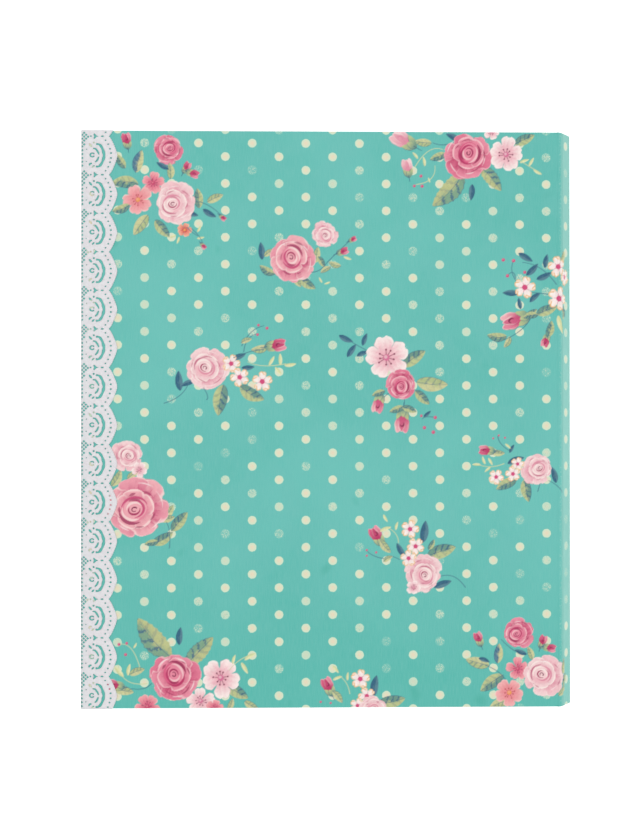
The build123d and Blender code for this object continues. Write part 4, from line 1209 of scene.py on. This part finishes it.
def page_card(k):
    """Card inserts, each leaf another pale tint, with a plain ruled border and a fine dot ground."""
    hues = ("f6efdf", "f6e3e3", "dcebe4", "f7f2e4", "ece4f0", "f7e8d4", "dfecf2", "f6efdf")
    inks = ("c9a27c", "d88f9f", "6fae9f", "b9a77d", "a38fb4", "d29a63", "7ea6ba", "c98a8f")
    N = Nodes("page_card_%d" % k)
    o = N.coord()
    g = N.new("SeparateXYZ")
    N.link(N.new("TexCoord").outputs["Generated"], g.inputs[0])
    x = N.math("MULTIPLY", g.outputs[0], 210.0)
    y = N.math("MULTIPLY", g.outputs[1], 297.0)
    fib = N.noise(o, 500.0, 4.0, .65)
    cl = N.noise(o, 20.0, 3.0, .6)
    a, ink = tone(hues[k - 1]), tone(inks[k - 1])
    c = N.mix(N.ramp(cl, .3, .7), a, a * .95)
    c = N.mix(N.ramp(fib, .5, .72, 0, .30), c, a * .88)
    ex = N.math("MINIMUM", x, N.math("SUBTRACT", 210.0, x))
    ey = N.math("MINIMUM", y, N.math("SUBTRACT", 297.0, y))
    e = N.math("MINIMUM", ex, ey)
    l1 = N.ramp(N.math("ABSOLUTE", N.math("SUBTRACT", e, 9.0)), .50, .30)
    l2 = N.ramp(N.math("ABSOLUTE", N.math("SUBTRACT", e, 11.2)), .26, .12)
    d = None
    for off in (0.0, 3.5):
        mx_ = N.math("SUBTRACT", N.math("FRACT", N.math("DIVIDE", N.math("ADD", x, off), 7.0)), .5)
        my_ = N.math("SUBTRACT", N.math("FRACT", N.math("DIVIDE", N.math("ADD", y, off), 7.0)), .5)
        q = N.math("SQRT", N.math("ADD", N.math("MULTIPLY", mx_, mx_), N.math("MULTIPLY", my_, my_)))
        p = N.ramp(q, .095, .065)
        d = p if d is None else N.math("MAXIMUM", d, p)
    d = N.math("MULTIPLY", N.math("MULTIPLY", d, N.ramp(e, 12.2, 12.4)), .30)
    k_ = N.math("MAXIMUM", N.math("MAXIMUM", N.math("MULTIPLY", l1, .8), N.math("MULTIPLY", l2, .7)), d)
    k_ = N.math("MULTIPLY", k_, N.ramp(fib, .25, .45, .6, 1.0))
    c = N.mix(k_, c, ink)
    return N.shade(c, .85, N.bump(fib, .4, .0002), **{"Specular IOR Level": .25})
# ---------------------------------------------------------------- the pieces
M_PRINT, M_LINE, M_LACE = printed_paper(), lining_paper(), cotton()
M_BOARD, M_METAL, M_FILM = greyboard(), nickel(), film()

P = Sheet(-160, 465, -180, 180, 0.2)
paint_sprays(P, SPRAYS, lambda x, y, a: (x, y, a), 3)
UC0 = (U_A + XA) / 2 + (U_A - XE + 0) / 2 - 0.0


def on_back(x, y, a):
    """The back carries the same print turned half round."""
    return (U_A + XA - (-3.55)) - (x + 3.55) + 0.0, -y, a + 180


paint_sprays(P, [e for e in SPRAYS if (e[1][0] if e[0] == "S" else e[1]) < 118], on_back, 8)
SPINE_BITS = [("L", 148, 118, 8, 60, "1"), ("L", 156, 108, 8, -30, "4"), ("R", 152, 112, 6.5, 40, "p"), ("B", 147, 103, 2.8, 250, "d"),
              ("S", [152, 20, 149, 12, 151, 4], 1), ("L", 147, 14, 7, 140, "0"), ("L", 156, 10, 7, 20, "2"), ("F", 152, 22, 5.2, 30, "c"), ("B", 151, 2, 3, 265, "d"),
              ("L", 147, -82, 8, 120, "1"), ("L", 157, -84, 7, 40, "0"), ("R", 152, -90, 6.8, 200, "d"), ("W", 157, -99, 4, 10), ("P", 147, -101, .8), ("P", 149, -104, .7)]
paint_sprays(P, SPINE_BITS, lambda x, y, a: (x, y, a), 21)

front = cover_wrap("front_cover_wrap", 1, P, lambda x: x, [M_PRINT], 6)
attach(front, "front_cover"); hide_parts("front_wrap")
back = cover_wrap("back_cover_wrap", -1, P, lambda x: U_A + (XA - x), [M_PRINT], 4)
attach(back, "back_cover"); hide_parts("back_wrap")

lace, lace_area = make_lace([M_LACE])
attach(lace, "front_cover"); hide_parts("lace_trim")
for o_ in (front, back):
    print("WRAP", o_.name, sum(len(p_.vertices) - 2 for p_ in o_.data.polygons))
print("LACE faces", len(lace.data.polygons), "area", lace_area, "of", .318 * .02652)

d1 = np.array([1.0, 0.0])
d2 = np.array([XB - XA, ZC - Z_TOP]) / STRIP
d3 = np.array([0.0, -1.0])
d4 = np.array([XA - XB, -ZB]) / STRIP
d5 = np.array([-1.0, 0.0])
cD, cC, cB, cA = np.array([XA, Z_TOP]), np.array([XB, ZC]), np.array([XB, ZB]), np.array([XA, 0.0])


def line(a, b, n):
    return [tuple(a + (b - a) * k / n) for k in range(n + 1)]


pieces = [
    ("front_crease_paper", bend(cD, d1, d2), U_D - CUT, ("front_cover", "front_hinge_strip"), None),
    ("front_hinge_paper", line(cD + d2 * CUT, cC - d2 * CUT, 6), U_D + CUT, "front_hinge_strip", "front_hinge"),
    ("spine_front_crease_paper", bend(cC, d2, d3), U_C - CUT, ("front_hinge_strip", "spine"), None),
    ("spine_paper", line(cC + d3 * CUT, cB - d3 * CUT, 8), U_C + CUT, "spine", "spine_wrap"),
    ("spine_back_crease_paper", bend(cB, d3, d4), U_B - CUT, ("spine", "back_hinge_strip"), None),
    ("back_hinge_paper", line(cB + d4 * CUT, cA - d4 * CUT, 6), U_B + CUT, "back_hinge_strip", "back_hinge"),
    ("back_crease_paper", bend(cA, d4, d5), U_A - CUT, ("back_hinge_strip", "back_cover"), None),
]
for name, path, u0_, body, node in pieces:
    spine = name == "spine_paper"
    ob = strip(name, path, u0_, P, 0.35 if spine else 0.8, [M_PRINT, M_LINE], turn=(2.55, 2.9, 15.0) if spine else None)
    if isinstance(body, tuple):
        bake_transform(ob)
    else:
        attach(ob, body)
        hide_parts(node)

# finishes of the construction pieces that stay as they are
for n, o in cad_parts.items():
    m = None
    if n.endswith("board"):
        m = M_BOARD
    elif n.endswith("liner"):
        m = M_LINE
    elif n.startswith("page_protector"):
        m = M_FILM
    elif n.startswith("page_insert"):
        m = page_card(int(n[-1]))
    elif n in ("front_wrap", "back_wrap", "spine_wrap", "front_hinge", "back_hinge", "lace_trim"):
        continue
    else:
        m = M_METAL
    for s in range(max(1, len(o.material_slots))):
        if len(o.data.materials) <= s:
            o.data.materials.append(m)
        else:
            o.material_slots[s].material = m
# ---------------------------------------------------------------- floor, light, camera
def floor():
    N = Nodes("studio_floor")
    n = N.noise(N.coord(), 6.0, 3.0, .5)
    N.shade(N.mix(N.ramp(n, .3, .7), (.86, .86, .86), (.90, .90, .90)), .9, None, **{"Specular IOR Level": .1, "Emission Color": (1, 1, 1, 1), "Emission Strength": .50})
    n_ = 24
    co = [((-3 + 6 * i / n_) * 1000, (-3 + 6 * j / n_) * 1000, -.05) for j in range(n_ + 1) for i in range(n_ + 1)]
    fc = [(j * (n_ + 1) + i, j * (n_ + 1) + i + 1, (j + 1) * (n_ + 1) + i + 1, (j + 1) * (n_ + 1) + i) for j in range(n_) for i in range(n_)]
    o = build("studio_floor", co, fc, mats=[N.m], merge=False)


floor()
w = bpy.data.worlds.new("studio")
bpy.context.scene.world = w
w.use_nodes = True
bg = w.node_tree.nodes.get("Background") or w.node_tree.nodes.new("ShaderNodeBackground")
bg.inputs[0].default_value = (1, 1, 1, 1)
bg.inputs[1].default_value = 0.86
wo = w.node_tree.nodes.get("World Output") or w.node_tree.nodes.new("ShaderNodeOutputWorld")
w.node_tree.links.new(bg.outputs[0], wo.inputs[0])


def area(name, loc, size, power, aim=(0, 0, 0)):
    l = bpy.data.lights.new(name, "AREA")
    l.shape = "SQUARE"
    l.size = size
    l.energy = power
    o = bpy.data.objects.new(name, l)
    bpy.context.scene.collection.objects.link(o)
    o.location = loc
    o.rotation_euler = (Vector(aim) - Vector(loc)).to_track_quat("-Z", "Y").to_euler()
    return o


area("soft_key", (-0.45, 0.55, 1.5), 1.2, 5.0)
area("soft_fill", (0.8, -0.3, 1.5), 1.2, 4.0)

cam = bpy.data.cameras.new("camera")
cam.sensor_fit = "VERTICAL"
cam.sensor_height = 36.0
cam.lens = 55.67
cam.clip_start, cam.clip_end = 0.01, 50
co_ = bpy.data.objects.new("camera", cam)
bpy.context.scene.collection.objects.link(co_)
co_.location = (-0.02168, -0.00492, 0.758)
co_.rotation_euler = (0.0062, -0.0199, -0.0002)
bpy.context.scene.camera = co_
bpy.context.scene.view_settings.view_transform = "Standard"
bpy.context.scene.view_settings.look = "None"

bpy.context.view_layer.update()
